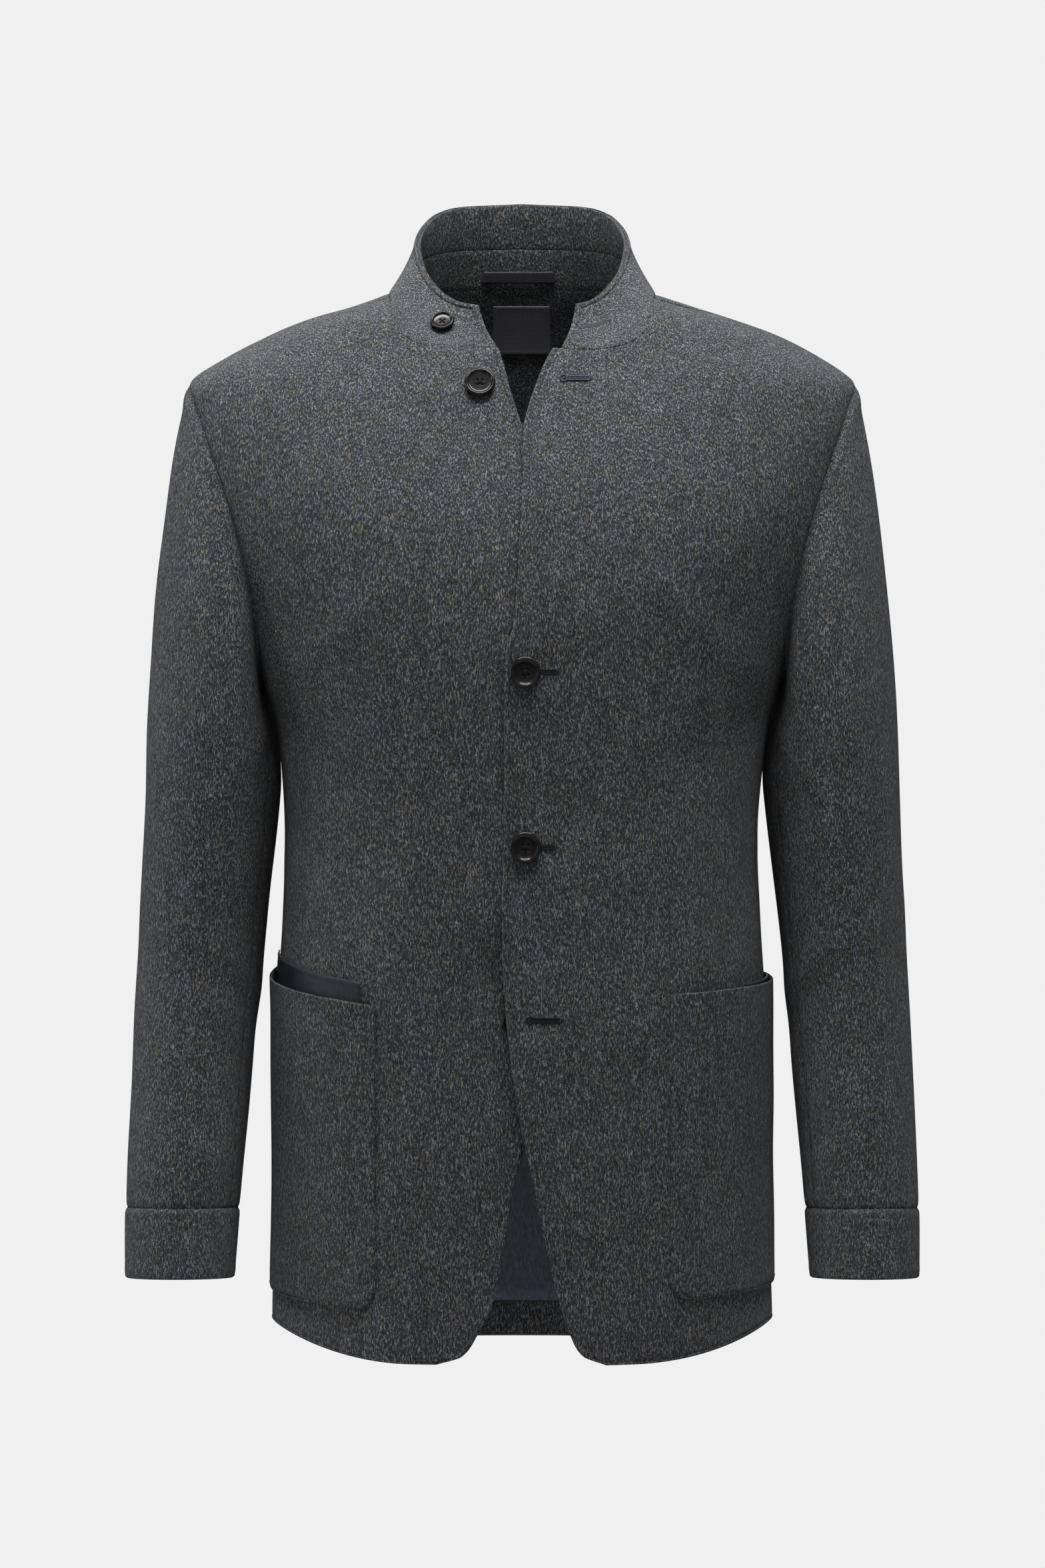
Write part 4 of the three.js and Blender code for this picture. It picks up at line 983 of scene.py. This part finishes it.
def build_pocket(word):
    """A patch pocket sewn down round three sides, and the satin strip behind its mouth."""
    side = SIDES[word]
    up = spread(POCKET_TALL, 3.2)[None, :] ** POCKET_CROWDING
    s, t = np.broadcast_arrays(spread(POCKET_ACROSS, 3.0)[:, None], up)
    phi, z = pocket_place(word, s, t)
    base, normals = on_body(phi, z, POCKET_SEAT + pocket_bow(word, s, t) + CLOTH_WALL), body_normal(phi, z)
    start, end, low, high = edges_of(base)
    sewn = np.minimum(np.minimum(start, end), low)
    free = np.minimum(sewn, high)
    trim = rounded(free)
    flat = 0.75 * np.exp(-sewn / 3)
    raised = trim - 2 * flat + groove(sewn, POCKET_STITCH_INSET, 0.3)
    raised = raised + 0.7 * slack(base, 31 + side) * smoothstep(free / 30)
    trim = trim - 0.8 * flat
    outer = base + normals * raised[..., None]
    cloth_piece(f"wool_pocket_{word}", mirrored(outer, side), CLOTH_WALL, body_wool, f"pocket_{word}",
                mirrored(normals, side), np.abs(sewn - POCKET_STITCH_INSET), trim)
    mouth_front, mouth_side, _, _, _, strip_from, strip_above = POCKET[word]
    phi = mix(strip_from, STRIP_TO, np.linspace(0, 1, 50))[:, None]
    rows = np.linspace(-STRIP_BELOW, strip_above, 15)[None, :]
    z = pocket_level(mouth_front, mouth_side, phi) + rows
    phi, z = np.broadcast_arrays(phi, z)
    outer = on_body(phi, z, np.full(phi.shape, POCKET_SEAT + LINING_WALL), side)
    normals = mirrored(body_normal(phi, z), side)
    _, _, low, high = edges_of(outer)
    fold = 0.25 * bell(high - 1.4, 1.0) - 0.3 * bell(high, 0.5)
    outer = outer + normals * fold[..., None]
    cloth_piece(f"satin_pocket_strip_{word}", outer, LINING_WALL, strip_satin,
                f"pocket_strip_{word}", normals)


# Buttons, buttonholes and thread

def disc_faces(sides):
    """Four-sided faces that fill a ring of an even number of points, as a fan from its first point."""
    return np.array([[0, k, k + 1, k + 2] for k in range(1, sides - 2, 2)])


def tube(path, radius, sides=8):
    """A closed tube: circles across the path, shrunk to nearly nothing at both ends."""
    along = unit(np.gradient(path, axis=0))
    up = np.array([0.31, 0.52, 0.79])
    first = unit(np.cross(along, up))
    second = np.cross(along, first)
    angle = np.linspace(0, 2 * np.pi, sides, endpoint=False)
    grow = np.full(len(path), radius)
    grow[[0, -1]] = radius * 0.3
    ring = first[:, None] * np.cos(angle)[:, None] + second[:, None] * np.sin(angle)[:, None]
    points = path[:, None] + ring * grow[:, None, None]
    index = np.arange(len(path) * sides).reshape(len(path), sides)
    after = np.roll(index, -1, 1)
    faces = np.stack([index[:-1], after[:-1], after[1:], index[1:]], -1).reshape(-1, 4)
    fan = disc_faces(sides)
    return points.reshape(-1, 3), np.concatenate([faces, index[0][fan[:, ::-1]], index[-1][fan]])


def gathered(parts):
    """Several meshes as one: points end to end, faces counted on."""
    points, faces, count = [], [], 0
    for part_points, part_faces in parts:
        points.append(part_points)
        faces.append(part_faces + count)
        count += len(part_points)
    return np.concatenate(points), np.concatenate(faces)


def grains(centres, along, up, length, radius):
    """Stitches: a slim eight-sided grain at each place, along one way and rising by another, its middle
    full and its ends thin and low."""
    shares = np.array([-0.5, -0.3, 0.3, 0.5])
    full = np.array([0.45, 1, 1, 0.45])
    lift = np.array([-0.6, 0.2, 0.2, -0.6]) * radius
    angle = np.pi / 4 + np.arange(4) * np.pi / 2
    across = unit(np.cross(along, up))
    ring = across[:, None, None] * np.cos(angle)[:, None] + up[:, None, None] * np.sin(angle)[:, None]
    middle = centres[:, None] + along[:, None] * (shares * length)[:, None] + up[:, None] * lift[:, None]
    points = middle[:, :, None] + ring * (radius * full)[None, :, None, None]
    index = np.arange(16).reshape(4, 4)
    after = np.roll(index, -1, 1)
    faces = np.stack([index[:-1], after[:-1], after[1:], index[1:]], -1).reshape(-1, 4)
    faces = np.concatenate([faces, index[:1, ::-1], index[-1:]])
    all_faces = faces[None] + 16 * np.arange(len(centres))[:, None, None]
    return points.reshape(-1, 3), all_faces.reshape(-1, 4)


def run_of_stitches(path, normals, pitch=3.1, length=2.4, radius=0.26):
    """Grains laid end to end along a path, at even steps of its length."""
    running = arc(path, 0)
    at = np.arange(pitch, running[-1] - pitch, pitch)
    pick = lambda values: np.stack([np.interp(at, running, values[:, k]) for k in range(3)], -1)
    return grains(pick(path), unit(pick(np.gradient(path, axis=0))), unit(pick(normals)), length, radius)


def edge_path(word, inset):
    """The topstitch line of a front: up the hem from the side seam, round the corner and up the edge."""
    side = SIDES[word]
    t = np.linspace(0, 1.985, 500)
    inset_s, inset_t = inset / PANEL_WIDE, inset / PANEL_LOW
    s = np.full(t.shape, inset_s)
    hem_s = np.linspace(0.975, inset_s, 160)
    hem_t = np.full(hem_s.shape, inset_t)
    s, t = np.concatenate([hem_s, s[t > inset_t]]), np.concatenate([hem_t, t[t > inset_t]])
    phi, z = front_maps[word](s, t)
    out = np.full(phi.shape, -0.12) + (right_sink(phi, z) if word == "right" else 0)
    return on_body(phi, z, out, side), mirrored(body_normal(phi, z), side)


def build_topstitching():
    """Thread that shows along the fronts' edges, the collar's edge and round the pockets."""
    for word, side in SIDES.items():
        points, faces = run_of_stitches(*edge_path(word, STITCH_INSET))
        mesh_piece(f"topstitch_front_{word}", points, faces, top_thread)
        run = np.linspace(0, 1, 200)
        inset_s = POCKET_STITCH_INSET / POCKET_ACROSS
        inset_t = (POCKET_STITCH_INSET / POCKET_TALL) ** POCKET_CROWDING
        s = np.concatenate([np.full(200, inset_s), mix(inset_s, 0.97, run)])
        t = np.concatenate([mix(0.985, inset_t, run), np.full(200, inset_t)])
        phi, z = pocket_place(word, s, t)
        path = on_body(phi, z, POCKET_SEAT + pocket_bow(word, s, t) + CLOTH_WALL - 0.12, side)
        points, faces = run_of_stitches(path, mirrored(body_normal(phi, z), side))
        mesh_piece(f"topstitch_pocket_{word}", points, faces, top_thread)
    u = np.linspace(-1, 1, 400) * (1 - STITCH_INSET * 2 / COLLAR_LONG)
    top = 1 - STITCH_INSET / COLLAR_TALL
    v = np.full(u.shape, top)
    ends = np.linspace(0.06, top, 40)
    u = np.concatenate([np.full(39, u[0]), u, np.full(39, u[-1])])
    v = np.concatenate([ends[:-1], v, ends[-2::-1]])
    inward = collar_inward(u, v)
    points, faces = run_of_stitches(collar_surface(u, v) + inward * 0.1, -inward)
    mesh_piece("topstitch_collar", points, faces, top_thread)


def frame_at(up):
    """Two directions across an upward one: level, and uphill."""
    level = unit(np.cross(np.array([0.0, 0, 1]), up))
    return level, np.cross(up, level)


def build_button(name, wide, seat, up):
    """A turned disc: a profile carried round its axis, a raised round rim, a dished middle, and four
    holes sunk through by smooth steps. Three strands of thread cross between the holes each way."""
    radius, turns = wide / 2, 96
    profile = np.array([
        (0.02, 0), (0.4, 0), (0.78, 0), (0.9, 0.1), (0.97, 0.28), (1.0, 0.5), (0.985, 0.74), (0.94, 0.92),
        (0.88, 1.0), (0.82, 0.96), (0.77, 0.82), (0.72, 0.68), (0.66, 0.62), (0.55, 0.6), (0.45, 0.585),
    ])
    order = np.arange(len(profile))
    fine = np.linspace(0, len(profile) - 1, 44)
    across, tall = curve(order, profile[:, 0])(fine), curve(order, profile[:, 1])(fine)
    middle = np.linspace(0.44, 0.004, 24)
    across = np.concatenate([across, middle]) * radius
    tall = np.concatenate([tall, 0.585 + 0 * middle]) * BUTTON_THICK
    angle = np.linspace(0, 2 * np.pi, turns, endpoint=False)
    x, y = np.outer(across, np.cos(angle)), np.outer(across, np.sin(angle))
    z = np.repeat(tall[:, None], turns, 1)
    hole_at, hole_radius = 0.165 * radius, 0.095 * radius
    holes = [(a * hole_at, b * hole_at) for a in (-1, 1) for b in (-1, 1)]
    near = np.minimum.reduce([np.hypot(x - a, y - b) for a, b in holes])
    top = (np.arange(len(across)) > 20)[:, None]
    z = z - np.where(top, 1.45 * smoothstep((hole_radius - near) / 0.28), 0)
    level, uphill = frame_at(up)
    turned = lambda a, b, c: seat + a[..., None] * level + b[..., None] * uphill + c[..., None] * up
    points = turned(x, y, z).reshape(-1, 3)
    index = np.arange(len(across) * turns).reshape(len(across), turns)
    after = np.roll(index, -1, 1)
    faces = np.stack([index[:-1], after[:-1], after[1:], index[1:]], -1).reshape(-1, 4)
    fan = disc_faces(turns)
    faces = np.concatenate([faces, index[0][fan[:, ::-1]], index[-1][fan]])
    mesh_piece(f"horn_{name}", points, faces, button_horn, name)
    strands = []
    share = np.linspace(-1, 1, 17)
    for a, b in ((1, 1), (1, -1)):
        for offset in (-0.32, 0, 0.32):
            px = a * hole_at * share - b * offset * 0.7
            py = b * hole_at * share + a * offset * 0.7
            crossing = 0.3 * bell(share, 0.4) if b > 0 else 0
            pz = BUTTON_THICK * 0.6 + 0.32 - np.abs(share) ** 5 + crossing
            strands.append(tube(turned(px, py, pz), 0.2))
    points, faces = gathered(strands)
    mesh_piece(f"thread_{name}", points, faces, hole_thread)


def keyhole(length):
    """The outline of a keyhole buttonhole: an eyelet round its start and two close lines to its end.
    Returns places along and across, and the outward way at each."""
    eye, gap = 1.5, 0.45
    open_from = np.arcsin(gap / eye)
    round_it = np.linspace(open_from, 2 * np.pi - open_from, 26)
    count = 46
    straight = np.linspace(eye * 1.1, length, count)
    a = np.concatenate([eye * np.cos(round_it), straight, straight, np.full(3, length + 0.4)])
    b = np.concatenate([eye * np.sin(round_it), np.full(count, gap), np.full(count, -gap), [-0.6, 0, 0.6]])
    oa = np.concatenate([np.cos(round_it), np.zeros(2 * count), np.ones(3)])
    ob = np.concatenate([np.sin(round_it), np.ones(count), -np.ones(count), np.zeros(3)])
    return a, b, oa, ob


def sewn_hole(name, place, length, twist, reach=1.5):
    """Buttonhole stitches standing out all round the keyhole, and between them a thin dark tube of thread
    down the cut, painted shade for the shadow in the opening. place maps distances along, across and out to
    points."""
    a, b, oa, ob = keyhole(length)
    half = reach / 2
    centre = place(a + oa * half, b + ob * half, np.full(a.shape, 0.12))
    outer = place(a + oa * reach, b + ob * reach, np.full(a.shape, 0.12))
    above = place(a + oa * half, b + ob * half, np.full(a.shape, 1.12))
    stitches = grains(centre, unit(outer - centre), unit(above - centre), reach, 0.27)
    run = np.linspace(-0.6, length, 40)
    # A thin dark tube down the cut: painted shade for the shadow in the buttonhole's opening.
    painted_slit_shade = tube(place(run, 0 * run, np.full(run.shape, 0.02)), 0.34)
    points, faces = gathered([stitches, painted_slit_shade])
    mesh_piece(name, points, faces, twist)


def on_front(x, z, word, extra=0.0):
    """Maps distances along, across and out from a place on a front, given in the wearer's own half."""
    side = SIDES[word]

    def place(along, across, out):
        px, pz = x + along, z + across
        phi = angle_at(px, pz)
        return on_body(phi, pz, out + extra, side)

    return place


def build_fastenings():
    """Five buttons on the right front and collar, and the buttonholes of the left."""
    for name, (x, z) in BUTTONS.items():
        phi, side = angle_at(abs(x), z), (-1 if x < 0 else 1)
        sink = {"top": right_sink(phi, z), "lower": -RIGHT_SINK - BUTTON_ROOM}.get(name, 0.0)
        seat = on_body(phi, np.array(float(z)), np.array(sink + BUTTON_SEAT), side)
        build_button(f"button_{name}", BUTTON_WIDE, seat, mirrored(body_normal(phi, z), side))
    u, v = (np.array(k) for k in COLLAR_BUTTON)
    inward = collar_inward(u, v)
    seat = collar_surface(u, v) - inward * COLLAR_BUTTON_SEAT
    build_button("button_collar", COLLAR_BUTTON_WIDE, seat, -inward)
    for name, x, z, length in BUTTONHOLES:
        twist = top_thread if name == "top" else hole_thread
        sewn_hole(f"buttonhole_{name}", on_front(x, z, "left"), length, twist)

    def on_collar(along, across, out):
        u = 0.955 - along * 2 / COLLAR_LONG
        v = 0.46 + across / COLLAR_TALL
        return collar_surface(u, v) - collar_inward(u, v) * out[..., None]

    sewn_hole("buttonhole_collar", on_collar, 15.0, top_thread)


build_back()
for side_word in SIDES:
    build_front(side_word)
    build_sleeve(side_word)
    build_pocket(side_word)
build_collar()
build_loop_and_label()
build_topstitching()
build_fastenings()


# The stage: a pale round floor far below, softboxes and the camera of the photograph

def build_stage():
    """A pale floor, an even pale surround, a large softbox high in front, weaker ones before, behind and
    at both sides, and the camera."""
    scene = bpy.context.scene
    angle = np.linspace(0, 2 * np.pi, 96, endpoint=False)
    rim = np.stack([2500 * np.cos(angle), 2500 * np.sin(angle), np.full(96, -1300.0)], -1) * MM
    mesh = bpy.data.meshes.new("studio_floor")
    mesh.from_pydata(rim.tolist(), [], [list(range(96))])
    floor = bpy.data.objects.new("studio_floor", mesh)
    scene.collection.objects.link(floor)
    paper, _, shader, _ = empty_material("pale_studio_paper")
    shader.inputs["Base Color"].default_value = linear("e6e6e6")
    shader.inputs["Roughness"].default_value = 0.9
    mesh.materials.append(paper)
    world = bpy.data.worlds.new("even_studio")
    world.use_nodes = True
    world.node_tree.nodes["Background"].inputs[0].default_value = linear("f0f0f0")
    world.node_tree.nodes["Background"].inputs[1].default_value = 1.0
    scene.world = world
    scene.view_settings.view_transform = "Standard"
    for name, place, turn, size, power in (
        ("softbox_over", (0.0, -0.48, 1.2), (0.25, 0, 0), (1.3, 0.5), 555.0),
        ("softbox_front", (0.0, -3.0, 0.6), (1.3, 0, 0), (0.9, 0.9), 75.0),
        ("softbox_back", (0.0, 2.2, 1.35), (-0.93, 0, 0), (0.9, 0.9), 150.0),
        ("softbox_left", (-1.9, 0.1, -0.1), (1.5, 0, -1.6), (0.7, 1.2), 150.0),
        ("softbox_right", (1.9, 0.1, -0.1), (1.5, 0, 1.6), (0.7, 1.2), 20.0),
    ):
        lamp = bpy.data.lights.new(name, "AREA")
        lamp.shape, lamp.size, lamp.size_y, lamp.energy = "RECTANGLE", size[0], size[1], power
        holder = bpy.data.objects.new(name, lamp)
        holder.location, holder.rotation_euler = place, turn
        scene.collection.objects.link(holder)
    camera = bpy.data.cameras.new("camera")
    camera.lens, camera.sensor_width, camera.sensor_fit = 116.25, 36.0, "AUTO"
    camera.clip_end = 50
    view = bpy.data.objects.new("camera", camera)
    view.location, view.rotation_euler = (0.0002, -3.5, -0.3387), (np.pi / 2, 0, 0)
    scene.collection.objects.link(view)
    scene.camera = view


build_stage()
